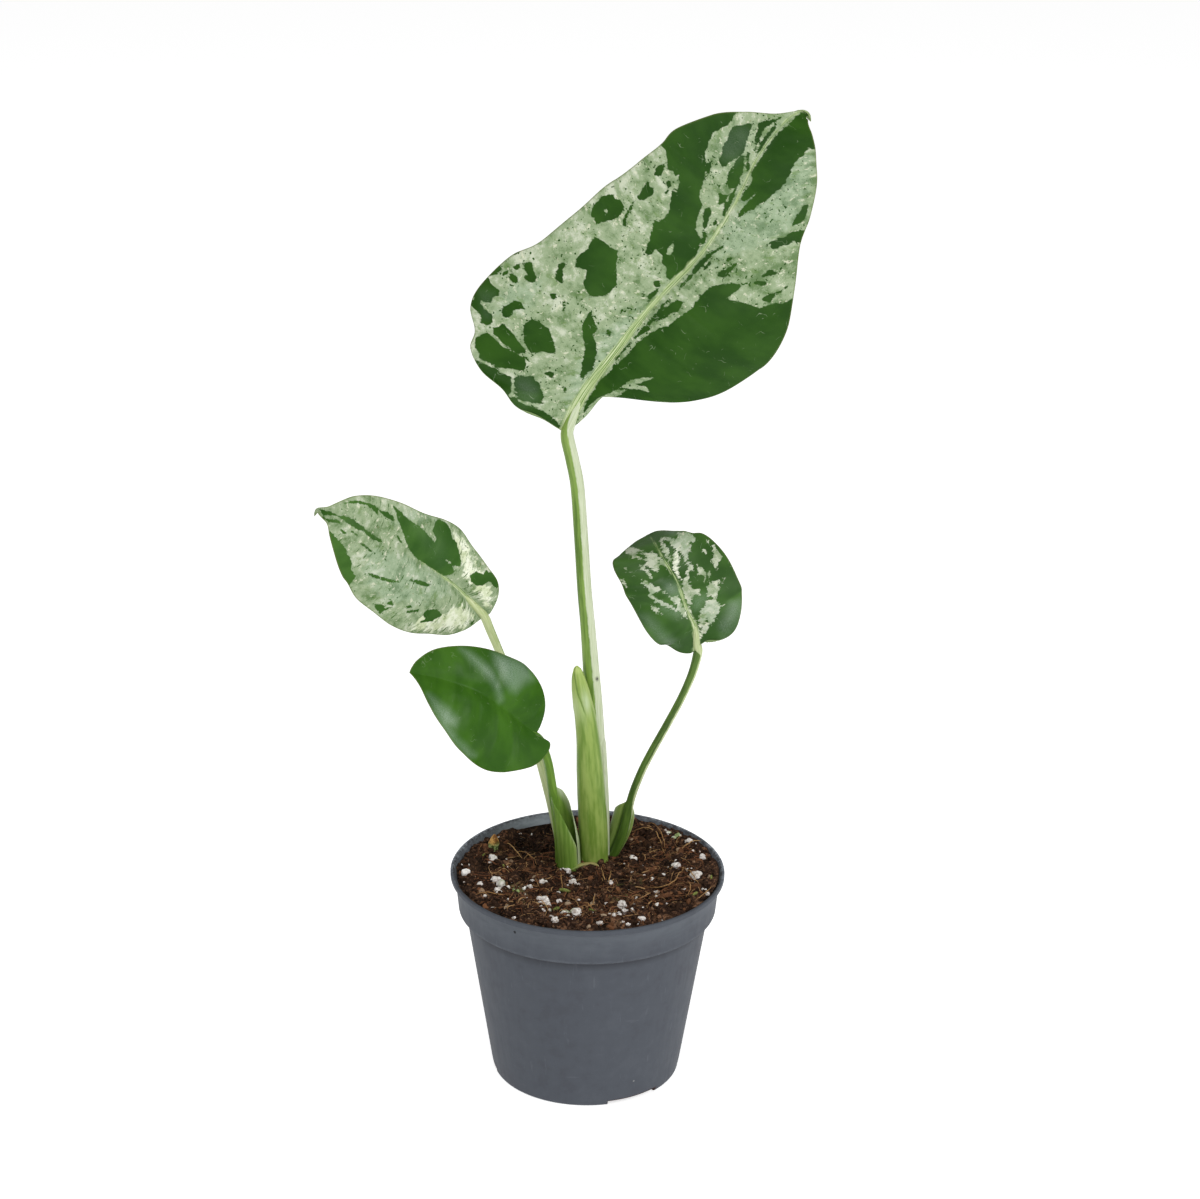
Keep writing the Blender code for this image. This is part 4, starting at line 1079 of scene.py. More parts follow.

# %% [markdown]
# ## Fine roots
#
# Thin tan roots loop over the mix. Their paths are drawn as (x, y, height
# above the mix), and a Geometry Nodes tree sweeps a small circle along each one,
# thins it towards both ends and lets it wander a little.
# %% Root strands
ROOTS = (
    ((26.4, 44.8, 0.4), (28.5, 42, 2.0), (31.5, 37.5, 1.6), (33.5, 30.5, 1.4), (34.8, 20.6, 0.3)),
    ((19.5, 39, 0.5), (24, 39, 1.8), (28, 38, 1.5), (31, 33.5, 1.4), (34.4, 18, 0.3)),
    ((38.9, 17, 0.3), (42.6, 20.3, 1.6), (46.8, 24.4, 1.8), (50, 27.5, 0.6)),
    ((25.5, -10.5, 0.3), (29.5, -13.4, 1.2), (34, -14.8, 1.6), (37.6, -12, 2.0), (40, -6, 2.4),
     (42.3, 3, 0.8)),
    ((41.5, 3.8, 0.4), (44, -2, 1.6), (46, -7.6, 1.4), (48.3, -14.6, 0.3)),
    ((42, -12.5, 0.4), (44.6, -16, 1.4), (44.6, -21, 1.2), (42.5, -26, 0.3)),
    ((5.8, 3, 1.6), (7, -3.8, 1.8), (8.7, -10.5, 0.4)),
    ((10.3, 1.7, 1.4), (9.7, -4.5, 1.2), (9.1, -8.8, 0.3)),
    ((-11.8, 3.5, 1.0), (-11.4, -5.8, 1.4), (-10.7, -14.6, 0.3)),
    ((3.5, -16.7, 0.6), (3, -23, 1.6), (2, -33.5, 0.4)),
    ((-2, -26, 0.4), (0.4, -30.2, 1.5), (2.4, -34.6, 0.4)),
    ((-7.6, -20.6, 0.4), (-5.2, -25.7, 1.2), (-1.9, -33.3, 0.3)),
    ((-37.5, 27, 0.5), (-34.5, 25.8, 1.6), (-31, 20, 1.4), (-28.5, 15, 0.3)),
    ((-32, 22, 0.5), (-28.7, 21, 1.8), (-24.4, 16.3, 1.4), (-22.7, 10.8, 0.3)),
    ((46.4, -29, 0.3), (50.5, -24.6, 1.0), (53.5, -17.6, 0.4)),
    ((-48, -24.5, 0.3), (-43.5, -23, 1.0), (-38.6, -25, 1.2), (-33, -23, 0.3)),
)
STICK = ((26.5, -26, 1.0), (31.5, -26.6, 1.2), (36, -26.2, 1.2), (41, -26.2, 1.0))
LINE_POINTS, SWEPT_POINTS = 40, 60         # on a path's line, and on the strand swept along it


def strand_tree():
    """Sweeps a circle along each line, thinner at both ends."""
    tree, given, result = geometry_tree("strands", [("Thickness", 'Float'), ("Wander", 'Float'),
                                                    ("Finish", 'Material')])
    line = add(tree, 'GeometryNodeMeshToCurve', {0: given["Geometry"]}).outputs[0]
    even = add(tree, 'GeometryNodeResampleCurve', {"Curve": line, "Count": SWEPT_POINTS}).outputs[0]
    wandering = jitter(tree, even, 260.0, given["Wander"])
    share = add(tree, 'GeometryNodeSplineParameter').outputs["Factor"]
    from_end = calc(tree, 'MINIMUM', calc(tree, 'SUBTRACT', 1.0, share), share)
    taper = calc(tree, 'ADD', 0.45, times(tree, from_end, 1.4))
    circle = add(tree, 'GeometryNodeCurvePrimitiveCircle', {"Resolution": 6, "Radius": 1.0}).outputs[0]
    swept = add(tree, 'GeometryNodeCurveToMesh',
                {"Curve": wandering, "Profile Curve": circle, "Fill Caps": True,
                 "Scale": times(tree, taper, given["Thickness"])}).outputs[0]
    real = add(tree, 'GeometryNodeRealizeInstances', {0: swept}).outputs[0]
    return hand_out(tree, given, result, real)


def strand_host(name, paths, lift):
    """Loose lines just above the mix, for the strand tree to sweep along."""
    verts, edges, tones = [], [], []
    for i, path in enumerate(paths):
        line = smooth_curve(path, LINE_POINTS)
        line[:, 2] += soil_height(line[:, 0], line[:, 1]) + lift
        edges += [(len(verts) + k, len(verts) + k + 1) for k in range(len(line) - 1)]
        verts += line.tolist()
        tones += [0.25 + 0.5 * ((7 * i) % 5) / 4] * len(line)
    mesh = bpy.data.meshes.new(name)
    mesh.from_pydata((np.array(verts) * MM).tolist(), edges, [])
    store(mesh, {"tone": tones})
    return new_object(name, mesh)


def root_finish():
    """Tan roots with darker lengths."""
    mat, tree, shader = new_material("fine_root", 0.6, 0.3)
    own = attribute(tree, "tone")
    tan = blend(tree, own, chip(142, 100, 58), chip(196, 158, 104))
    patchy = soft_step(tree, cloud(tree, position(tree), 260.0, 3.0), 0.42, 0.64, 0.0, 0.6)
    dress(tree, shader, blend(tree, patchy, tan, chip(98, 64, 38)))
    return mat


strands = strand_tree()
root_lines = strand_host("root_lines", ROOTS, 0.5)
stick_line = strand_host("stick_line", (STICK,), 0.3)
for name, host, thickness, wander, finish in (("fine_roots", root_lines, 0.00025, 0.0016, root_finish()),
                                              ("brown_stick", stick_line, 0.0005, 0.0006, husk)):
    grow(name, strands, host, {"Thickness": thickness, "Wander": wander, "Finish": finish}, "coir")
for helper in (root_lines, stick_line, surface, middle_surface):
    bpy.data.objects.remove(helper)
print("scatter and root hosts removed")

# %% [markdown]
# ## The old sheath
#
# In front of the stems lies the dry remnant of the first leaf's sheath, a little
# rolled strip. It is a short swept tube, flattened and tapered at both ends.
# %% Old sheath
STRIP_PATH = ((-8.6, 4.2), (-5.0, 5.6), (-1.2, 6.4), (2.2, 6.4), (5.0, 5.0))
STRIP_RADIUS, STRIP_LENGTH = 1.25, 14
STRIP_STATIONS, STRIP_SIDES = 40, 20


def make_old_sheath():
    """Points, faces and marks of the rolled strip."""
    flat = smooth_curve([(x, y, 0) for x, y in STRIP_PATH], STRIP_STATIONS)
    share = np.linspace(0, 1, STRIP_STATIONS)
    flat[:, 2] = soil_height(flat[:, 0], flat[:, 1]) + 0.9 + 0.9 * np.sin(math.pi * share)
    radii = STRIP_RADIUS * np.sqrt(np.maximum(1 - (2 * share - 1)**4, 0.02)) * (1 - 0.35 * share)
    across, ahead = frames_along(flat, (0, 0, 1))
    turn = full_turn(STRIP_SIDES)
    rings = [p + r * (np.outer(np.cos(turn), a) * 1.15 + np.outer(np.sin(turn), f) * 0.7)
             for p, r, a, f in zip(flat, radii, across, ahead)]
    run = in_space(np.tile(turn, STRIP_STATIONS), np.repeat(share * STRIP_LENGTH, STRIP_SIDES))
    return *loft(rings), {"run": run}


def old_sheath_finish():
    """Green at one end and dry at the other."""
    mat, tree, shader = new_material("dry_sheath", 0.55, 0.4)
    run = attribute(tree, "run", "Vector")
    along = add(tree, 'ShaderNodeSeparateXYZ', {0: run}).outputs[1]
    fibre = threads(tree, run, 0.25, 7.0)
    green = tinted(tree, fibre, 0.35, 0.65, chip(92, 122, 48), chip(142, 156, 82))
    dry = tinted(tree, fibre, 0.35, 0.65, chip(128, 122, 66), chip(172, 160, 104))
    dress(tree, shader, tinted(tree, along, 2.0, 9.0, green, dry), None, fibre, 0.0002, 0.6)
    return mat


points, faces, marks = make_old_sheath()
old_sheath = make_mesh("old_sheath_strip", points, faces, old_sheath_finish(), marks)
settle(old_sheath, "old_sheath", "old_sheath")

# %% [markdown]
# ## The root crown
#
# Under the mix the stems join in a short crown with the main roots. It is hardly
# seen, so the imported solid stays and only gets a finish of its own.
# %% Crown finish
bark = mottled_finish("crown_bark", 0.7, 0.3, 90.0, 600.0, (74, 66, 34), (112, 108, 58), (150, 146, 88),
                      strength=0.6)
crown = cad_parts["root_crown"]
crown.data.materials.clear()
crown.data.materials.append(bark)
print("root crown keeps its", len(crown.data.polygons), "faces")

# %% [markdown]
# ## The stalks' finish
#
# A petiole of a variegated monstera is green on one side and cream on the other,
# with a ragged border, and fine lines run its whole length. Two numbers travel with
# the mesh: the distance to the cream stripe's border, and the place along and round
# the stalk, so the stripes turn with every bend.
# %% Stalk finish
def stalk_finish(name, dark, middle, pale, shade):
    """Green stalk with a frayed pale stripe: three leaf colours and the stripe's shadow tone."""
    mat, tree, shader = new_material(name, 0.42, 0.3)
    run = attribute(tree, "run", "Vector")
    fibre, thread = threads(tree, run, 0.9, 26.0), threads(tree, run, 0.28, 12.0)
    tint = attribute(tree, "tint")
    broad = cloud(tree, run, (0.32, 0.035, 1.0), 3.0, 0.6)
    along = times_plus(tree, fibre, 0.45, times(tree, broad, 0.55))
    green = tinted(tree, along, 0.38, 0.60, dark, middle)
    light = tinted(tree, along, 0.38, 0.60, chip(118, 146, 62), chip(152, 174, 98))
    green = blend(tree, tint, green, light)
    cream = tinted(tree, thread, 0.36, 0.66, shade, pale)
    stripe = use(tree, frayed, {"Distance": attribute(tree, "stripe"), "Vector": run, "Fray": 0.8,
                                "Soft": 0.3})["Mask"]
    both = blend(tree, stripe, green, cream)
    straw = tinted(tree, thread, 0.4, 0.6, chip(172, 186, 142), chip(204, 212, 184))
    dry = veil(tree, attribute(tree, "margin"), 0.8, both, straw)
    dotted = blend(tree, specks(tree, position(tree), 160.0, 0.03, 0.09), dry, chip(222, 224, 214))
    dress(tree, shader, blend(tree, attribute(tree, "scar"), dotted, chip(24, 24, 20)),
          soft_step(tree, thread, 0.3, 0.7, 0.36, 0.5), thread, 0.00012, 0.45)
    return mat


stalk_greens = {
    "tall_petiole": (chip(80, 114, 34), chip(122, 152, 66), chip(200, 208, 180), chip(180, 192, 154)),
    "left_petiole": (chip(126, 148, 78), chip(154, 174, 104), chip(200, 208, 162), chip(174, 188, 130)),
    "front_petiole": (chip(78, 116, 30), chip(110, 148, 50), chip(186, 202, 140), chip(150, 176, 98)),
    "right_petiole": (chip(56, 84, 24), chip(86, 116, 42), chip(196, 204, 160), chip(166, 180, 126)),
}
stalk_finishes = {name: stalk_finish(name + "_skin", *tones) for name, tones in stalk_greens.items()}
print("stalk finishes:", sorted(stalk_finishes))

# %% [markdown]
# ## The stalks
#
# Each petiole is a rib that widens at its foot into two wings, which once wrapped
# the next leaf. Its cross-section changes all the way up, so it can't be a plain
# swept circle: a section is worked out for each height from short tables and the
# sections are skinned. A wing thins out to a dry papery edge.
# %% Stalk tables
# Runs are height,value pairs: wings and stripes in degrees, the rest in millimetres or shares.
SKIN = 0.8
PETIOLES = {
    "tall_petiole": {
        "path": ((4.9, 19.5, 90.6), (4.7, 19.1, 106), (4.1, 18.5, 124), (2.9, 17.7, 144),
                 (1.9, 17.3, 163), (0.4, 16.7, 185), (-1.1, 16, 204), (-2.6, 15.8, 220),
                 (-4.3, 15.5, 245), (-6, 15.2, 267), (-8.2, 15, 279), (-10.5, 15, 289.6),
                 (-9.7, 16, 293.9), (-6.5, 18.4, 300.7), (-2.9, 20.9, 307.1)),
        "opens": (-0.32, -0.95, 0.0),
        "radius": (90,4.3, 152,4.3, 168,4.0, 185,3.5, 204,3.2, 220,3.1, 288,2.9, 294,2.5, 301,1.6,
                   307.1,0.5),
        "curl": (90,6.2, 140,6.2, 150,5.8, 165,5.2, 180,4.6, 291,4.6),
        "left_wing": (90,150, 105,150, 125,140, 140,118, 148,60, 154,0, 291,0),
        "right_wing": (90,0, 291,0),
        "hollow": (90,0.3, 140,0.3, 160,0.0, 291,0.0),
        "pale_middle": (90,88, 170,88, 200,84, 275,84, 291,100),
        "pale_half": (90,70, 170,74, 200,80, 275,80, 289,84, 300,150),
        "tint": (90,0.1, 150,0.0, 175,0.0, 265,0.0, 285,0.5),
        "soft_edge": 1.0,
        "scar": (3.3, 14.2, 178.9),
    },
    "left_petiole": {
        "path": ((-11.0, 17.4, 90.6), (-13.2, 17.8, 103), (-16.9, 18.4, 119), (-21.1, 19.3, 136),
                 (-25.8, 20, 153), (-31.6, 20.5, 169), (-38.5, 20.5, 187),
                 (-43.2, 20.3, 199), (-45.4, 20, 204.8), (-48.3, 19.6, 208.7),
                 (-51.9, 19, 212.8), (-55.5, 18.4, 216.8)),
        "opens": (-0.60, -0.80, 0.0),
        "radius": (90,2.3, 120,1.8, 190,1.8, 204,2.0, 208.7,1.7, 212.8,1.2, 216.8,0.4),
        "curl": (90,6.0, 205,6.0),
        "left_wing": (90,0, 205,0),
        "right_wing": (90,0, 205,0),
        "hollow": (90,0.0, 205,0.0),
        "pale_middle": (90,-20, 205,-60),
        "pale_half": (90,100, 160,110, 200,120, 210,175),
        "tint": (90,0.4, 150,0.4, 205,0.7),
    },
    "front_petiole": {
        "path": ((-11.5, 11.9, 90.6), (-12.3, 10.2, 105), (-14, 8.2, 118.6), (-15.6, 6.2, 130),
                 (-17.4, 4, 143), (-19.4, 2.4, 151), (-21.4, 1.0, 156.6), (-23, -1, 159.5),
                 (-25.2, -2.3, 161.6), (-26.8, -3.2, 163.2)),
        "opens": (0.80, -0.60, 0.0),
        "radius": (90,2.6, 118,2.1, 143,1.9, 156,1.8, 159.5,1.2, 161.6,0.7, 163.2,0.3),
        "curl": (90,4.7, 105,4.6, 120,3.8, 159,3.8),
        "left_wing": (90,178, 103,176, 107,163, 111,151, 115,138, 119,124, 123,100, 127,56, 131,0, 159,0),
        "right_wing": (90,178, 106,176, 114,156, 122,120, 128,70, 132,0, 159,0),
        "membrane": 4.6,
        "soft_edge": 0.6,
        "margin_fades": (107, 115),
        "dry_top": (117, 124),
        "hollow": (90,0.9, 118,0.7, 128,0.0, 159,0.0),
        "pale_middle": (90,180, 159,180),
        "pale_half": (90,14, 159,14),
        "tint": (90,0.15, 110,0.35, 125,0.1, 159,0.0),
    },
    "right_petiole": {
        "path": ((10.8, 19.6, 90.6), (15.4, 18.6, 104), (18.6, 17.4, 120), (21.9, 16.6, 131),
                 (26.3, 15.6, 142), (33.8, 14, 158), (39.6, 12.5, 171), (44.2, 11.3, 183.5),
                 (46.4, 11.2, 193.4), (46, 10.8, 197.7), (45.2, 12.3, 204.2), (43.7, 14.1, 208.6)),
        "opens": (-0.2, 0.98, 0.0),
        "radius": (90,1.9, 104,2.1, 120,1.8, 175,1.7, 193,2.0, 198,1.8, 204.2,1.2, 208.6,0.4),
        "curl": (90,3.4, 104,4.8, 120,4.6, 195,4.6),
        "left_wing": (90,20, 94,45, 99,74, 105,80, 113,48, 120,0, 195,0),
        "right_wing": (90,50, 95,90, 106,108, 113,90, 117,50, 121,0, 195,0),
        "hollow": (90,0.6, 104,0.8, 116,0.5, 124,0.0, 195,0.0),
        "pale_middle": (90,85, 195,85),
        "pale_half": (90,10, 112,20, 122,66, 170,62, 193,50, 197,175),
        "tint": (90,0.0, 195,0.0),
        "wing_tint": 0.85,
    },
}
STALK_STATIONS, RIB_POINTS, WING_POINTS = 150, 23, 14
MEMBRANE = 0.9                # width of a wing's dry edge
NOWHERE = (400, 401)          # heights above every stalk
print("stalks run up to", {name: spec["path"][-1][2] for name, spec in PETIOLES.items()}, "mm")

# %% Stalk sections
def stalk_section(radius, left, right, curl, hollow, membrane):
    """Outline of a cut stalk as (across, forward), and each point's place from the rib."""
    left, right = max(left, radius * 1.001), max(right, radius * 1.001)
    s = np.concatenate([np.linspace(-left, -radius, WING_POINTS)[:-1],
                        radius * np.sin(np.linspace(-math.pi / 2, math.pi / 2, RIB_POINTS)),
                        np.linspace(radius, right, WING_POINTS)[1:]])
    reach = np.where(s < 0, left, right)
    thin = SKIN / 2 * ramp(reach - radius, 0.0, 1.5) * (1 - 0.7 * ramp(np.abs(s) / reach, 0.5, 1.0))
    rib = np.sqrt(np.maximum(radius**2 - s**2, 0))
    back = np.hypot(rib, thin)
    front = np.hypot(rib * (1 - hollow), thin)
    wrap = ramp(max(left, right) - radius, 0.0, 3.0)
    angle = wrap * s / curl
    flat = np.stack([s, np.zeros_like(s)], -1)
    curled = np.stack([curl * np.sin(s / curl), curl * (1 - np.cos(s / curl))], -1)
    centre = flat * (1 - wrap) + curled * wrap
    inward = np.stack([-np.sin(angle), np.cos(angle)], -1)
    outline = np.vstack([centre - inward * back[:, None], (centre + inward * front[:, None])[::-1]])
    dry = reach - np.where(s < 0, MEMBRANE, membrane)
    edge = ramp(np.abs(s), dry, reach - 0.2) * ramp(reach - radius, 1.0, 3.0)
    return outline, np.concatenate([s, s[::-1]]), np.concatenate([edge, edge[::-1]])


def stripe_distance(turn, middle, half, radius):
    """Distance in mm to the pale stripe's border, negative inside it."""
    away = np.abs((turn - middle + 180) % 360 - 180)
    return (away - half) * math.pi / 180 * radius


def make_stalk(name):
    """Skins the sections of one stalk and marks them for its finish."""
    spec = PETIOLES[name]
    path = smooth_curve(spec["path"], STALK_STATIONS)
    across, ahead = frames_along(path, spec["opens"])
    rings, marks = [], {"stripe": [], "run": [], "tint": [], "margin": [], "scar": []}
    soft_edge = spec.get("soft_edge", 0.0)
    for point, a, f in zip(path, across, ahead):
        z = point[2]
        radius, curl, left, right, hollow, pale_middle, pale_half, tint = (
            by_height(spec[key], z) for key in ("radius", "curl", "left_wing", "right_wing", "hollow",
                                                "pale_middle", "pale_half", "tint"))
        left, right = math.radians(left) * curl, math.radians(right) * curl
        outline, s, edge = stalk_section(radius, left, right, curl, hollow, spec.get("membrane", MEMBRANE))
        ring_points = point + np.outer(outline[:, 0], a) + np.outer(outline[:, 1], f)
        x, y = (np.interp(z, path[:, 2], column) for column in path.T[:2])
        turn = np.degrees(np.arctan2(ring_points[:, 0] - x, y - ring_points[:, 1]))
        marks["stripe"].append(stripe_distance(turn, pale_middle, pale_half, radius))
        marks["run"].append(in_space(s, z))
        closed = 1 - (s < 0) * ramp(z, *spec.get("margin_fades", NOWHERE))
        merging = soft_edge * ramp(-s, left - 3.2, left - 0.4) * ramp(left - radius, 1.0, 3.0)
        spread = spec.get("wing_tint", 0.0) * ramp(np.abs(s), radius, radius + 1.2)
        marks["tint"].append(np.maximum(tint, np.maximum(merging * closed, spread)))
        papery = 0.7 * ramp(z, *spec.get("dry_top", NOWHERE)) * ramp(s, right - 4.2, right - 1.0)
        margin = edge * closed * (1 - soft_edge * (s < 0))
        marks["margin"].append(np.maximum(margin, papery * (s > radius)))
        from_scar = np.linalg.norm(ring_points - spec.get("scar", (0, 0, 0)), axis=1)
        marks["scar"].append(1 - ramp(from_scar, 0.65, 1.0))
        rings.append(ring_points)
    points, faces = loft(rings)
    marks = {key: np.concatenate(values) for key, values in marks.items()}
    obj = make_mesh(name + "_stalk", points, faces, stalk_finishes[name], marks)
    settle(obj, "petiole", name)


for name in PETIOLES:
    make_stalk(name)

# %% [markdown]
# ## The new leaf
#
# The youngest leaf is still rolled up like a scroll beside the tallest stalk. Seen
# from the front a fold runs down from its tip, and the outer turn ends in a point on
# the left. A tapering swept form is raised by a thin step on one side of that fold,
# and a crease is pressed along the line, so that light finds the edge.
# %% New leaf shape
SPEAR_AXIS = ((3.0, 13.5, 90.6), (1.8, 12.5, 117), (0.6, 11.5, 137), (-0.4, 11, 151.6),
              (-2.1, 10.8, 165.5), (-3.7, 10.8, 175.3), (-4.9, 10.8, 182.4), (-5.5, 10.8, 186.6))
SPEAR_RADIUS = (90,6.1, 104,6.4, 125,6.25, 137,5.9, 151.6,5.1, 165.5,4.5, 175.3,3.7, 182.4,2.6, 185.4,1.6,
                186.6,0.4)
FOLD = (160,12, 167,3, 171,-7, 175.5,-22, 179.5,-29, 183.5,-40, 187,-60)      # height,degrees
STEP = 0.35                   # rise of the outer turn over the inner one
SPEAR_STATIONS, SPEAR_SIDES = 160, 64


def make_spear():
    """Points, faces and marks of the rolled leaf."""
    path = smooth_curve(SPEAR_AXIS, SPEAR_STATIONS)
    turn = np.linspace(-180, 180, SPEAR_SIDES, endpoint=False)
    angle = np.radians(turn)
    rings, marks = [], {"fold": [], "run": [], "tint": [], "bloom": []}
    for point in path:
        z = point[2]
        radius = by_height(SPEAR_RADIUS, z)
        from_fold = (turn - by_height(FOLD, z)) * math.pi / 180 * max(radius, 1.0)
        fade = ramp(z, 163, 168)
        outer = (1 - ramp(from_fold, -0.2, 0.2)) * ramp(turn, -150, -100) * fade * (1 - ramp(z, 179, 184))
        crease = np.exp(-(from_fold / 0.38)**2) * fade * (1 - 0.5 * ramp(z, 182, 186))
        r = radius + STEP * outer - 0.2 * crease + 0.04 * np.cos(angle * 9 + z * 0.02)
        rings.append(in_space(point[0] + r * np.sin(angle), point[1] - r * np.cos(angle) * 0.96, z))
        wedge = np.exp(-((z - 168) / 6)**2) * ramp(turn, -95, -60) * (1 - ramp(from_fold, -0.6, 0.3))
        # painted highlight: a silvery patch right of the fold
        patch = np.exp(-((z - 171.5) / 5)**2 - ((turn - 24) / 26)**2)
        tip = ramp(z, 183.0, 186.0)
        # the crease also sets a painted shade line in the finish
        marks["fold"].append(crease)
        marks["run"].append(in_space(angle * 5, z))
        marks["tint"].append(np.clip(0.6 * wedge + 0.45 * ramp(z, 158, 176) + tip, 0, 1))
        marks["bloom"].append(np.clip(patch + 0.5 * wedge * (turn > -80), 0, 1))
    return *loft(rings), {key: np.concatenate(values) for key, values in marks.items()}


def spear_finish():
    """Bright green with fine lines, a painted silvery highlight right of the fold and on the wedge beside
    it, and painted shade along the fold.
    """
    mat, tree, shader = new_material("rolled_leaf_skin", 0.4, 0.3)
    run = attribute(tree, "run", "Vector")
    fibre, thread = threads(tree, run, 1.1, 34.0), threads(tree, run, 0.32, 14.0)
    broad = cloud(tree, run, (0.30, 0.05, 1.0), 3.0, 0.6)
    along = times_plus(tree, fibre, 0.35, times(tree, broad, 0.65))
    green = tinted(tree, along, 0.38, 0.60, chip(104, 136, 46), chip(142, 165, 80))
    light = tinted(tree, along, 0.38, 0.60, chip(148, 172, 80), chip(176, 194, 116))
    colour = blend(tree, attribute(tree, "tint"), green, light)
    veined = tinted(tree, thread, 0.60, 0.72, colour, chip(186, 200, 138), 0.25)
    # painted highlight, silvery, right of the fold and on the wedge beside it
    sheen_patch = times(tree, attribute(tree, "bloom"), soft_step(tree, broad, 0.3, 0.6, 0.45, 0.85))
    sheened = blend(tree, sheen_patch, veined, chip(184, 200, 160))
    # painted shade: a dark line along the fold's crease
    folded = tinted(tree, attribute(tree, "fold"), 0.25, 0.9, sheened, chip(84, 112, 40), 0.8)
    dotted = blend(tree, specks(tree, position(tree), 90.0, 0.03, 0.07), folded, chip(218, 224, 204))
    dress(tree, shader, dotted, soft_step(tree, thread, 0.3, 0.7, 0.36, 0.48), thread, 0.0001, 0.35)
    return mat


points, faces, marks = make_spear()
rolled_leaf = make_mesh("rolled_leaf", points, faces, spear_finish(), marks)
settle(rolled_leaf, "new_leaf", "new_leaf_spear")

# %% [markdown]
# ## The leaves' shape
#
# A leaf blade is a thin curved sheet. Its side veins leave the midrib, head for the
# margin and bend down on the way, so the surface is built from them: for each vein
# its root on the midrib, its own point of the margin, the slope at which it starts
# and how fast it turns. Flattened, the same two numbers, across and along the
# midrib, give every blotch its place on the leaf.
# %% Leaf tables
# left and right: across,along of the margin. lift and bend: a vein's slope and turn, from base
# to tip. wave: height, number and phase of the ripples. pairs: how many side veins.
LEAVES = {
    "tall_leaf": {
        "midrib": ((-11, 15, 291), (-4, 18, 306), (8, 20, 323), (24, 25, 344), (44, 32, 365),
                   (57, 40, 384), (67, 48, 402), (78, 55, 415), (85, 60, 419), (89, 61, 418),
                   (90, 58, 415)),
        "face": (0.10, -0.90, 0.42),
        "face_tip": (0.02, -0.80, 0.60),
        "left": (6,1, 15,2.5, 24,2, 32,4.5, 42,3, 50,5.5, 52.5,11.5, 60,18, 62.5,28.5, 59.5,45, 53,55.5,
                 49.5,71, 48,90, 42.5,113, 38,125.5, 35,136.5, 25,146.5, 14.5,153.5, 3.5,161.5, -0.5,171.5),
        "right": (5,10, 7.5,19, 11.5,27, 20,31, 32,38, 46,50, 52.5,65, 54,82, 50,96.5, 41.5,107, 34,119,
                  31.5,131.5, 27.5,144.5, 18.5,158.5, 7,168.5),
        "lift": {"left": (0.15, 0.22, 0.18, 0.15, 0.10), "right": (0.10, 0.20, 0.20, 0.15, 0.05)},
        "bend": {"left": (0.004, 0.006, 0.004, 0.006, 0.006),
                 "right": (0.022, 0.017, 0.015, 0.016, 0.016)},
        "wave": {"left": (2.2, 9.0, 0.6), "right": (1.2, 8.0, 0.0)},
        "rows": 210, "columns": 60, "keel": 2.6, "pairs": 9,
    },
    "left_leaf": {
        "midrib": ((-46, 20, 206), (-58, 16, 221), (-73, 10, 235), (-89, 4, 249),
                   (-103, 0, 260), (-111, -1, 262), (-115, -2, 262), (-116, -3, 259)),
        "face": (-0.15, -0.75, 0.65),
        "face_tip": (-0.30, -0.75, 0.55),
        "left": (4.5,0.5, 12,3, 19.5,9, 27.5,24.5, 30.5,37, 30,47.5, 29,58, 25.5,65, 23.5,69.5, 17,77.5,
                 9.5,86.5, 4.5,91.5),
        "right": (2.5,-1.5, 10,1.5, 14.5,6.5, 16,14.5, 18.5,23, 22,30.5, 21.5,38.5, 18,50, 16,62, 12.5,73.5,
                  8,81, 3,85.5, 0.5,90),
        "lift": {"left": (0.25, 0.25, 0.15), "right": (0.20, 0.20, 0.10)},
        "bend": {"left": (0.012, 0.012, 0.012), "right": (0.028, 0.026, 0.012)},
        "wave": {"left": (0.8, 14.0, 0.5), "right": (0.6, 12.0, 1.0)},
        "rows": 150, "columns": 38, "keel": 1.8, "pairs": 7,
    },
    "front_leaf": {
        "midrib": ((-23, -2, 160), (-34, -8, 173), (-46, -13, 184), (-61, -16, 191),
                   (-76, -16, 194)),
        "face": (-0.25, -0.65, 0.72),
        "face_tip": (-0.35, -0.65, 0.66),
        "left": (-0.5,-4, -1,-8.5, 4,-10, 13,-6.5, 24,7, 28,19.5, 27.5,37.5, 21,49, 13.5,56.5, 5.5,62,
                 1.5,65.5),
        "right": (4.5,0.5, 12.5,4, 18.5,10.5, 22,20, 20.5,31, 19,41, 16,50.5, 11.5,59.5, 6,65, 2,67),
        "lift": {"left": (0.20, 0.25, 0.20), "right": (0.20, 0.20, 0.20)},
        "bend": {"left": (0.012, 0.018, 0.015), "right": (0.030, 0.030, 0.015)},
        "wave": {"left": (0.0, 1.0, 0.0), "right": (0.0, 1.0, 0.0)},
        "rows": 110, "columns": 34, "keel": 1.7, "pairs": 6,
    },
    "right_leaf": {
        "midrib": ((46, 10, 196), (45, 11, 205), (41, 14, 213), (37, 19, 223), (31, 27, 231),
                   (28, 33, 234), (25, 47, 234)),
        "face": (-0.25, -0.80, 0.55),
        "face_tip": (-0.20, -0.45, 0.87),
        "left": (3.5,-2.5, 10,-1, 17,8, 20.5,18.5, 23,31.5, 21.5,42.5, 20.5,52.5, 15,57, 7,61.5, 3,63),
        "right": (2,2, 5.5,4, 11.5,4, 17.5,5, 23,10, 25.5,18, 25,26, 23.5,35.5, 20.5,44, 14.5,49, 5.5,62.5),
        "lift": {"left": (0.15, 0.15, 0.15), "right": (0.15, 0.15, 0.15)},
        "bend": {"left": (0.020, 0.020, 0.020), "right": (0.020, 0.020, 0.020)},
        "wave": {"left": (0.0, 1.0, 0.0), "right": (0.0, 1.0, 0.0)},
        "rows": 120, "columns": 34, "keel": 1.7, "pairs": 6,
    },
}
VEIN_LAG = 1.25               # how far a vein's root trails the margin that it feeds
VEIN_BOW = 0.10               # bow of a side vein, as a share of the half width
MIDRIB_POINTS = 200
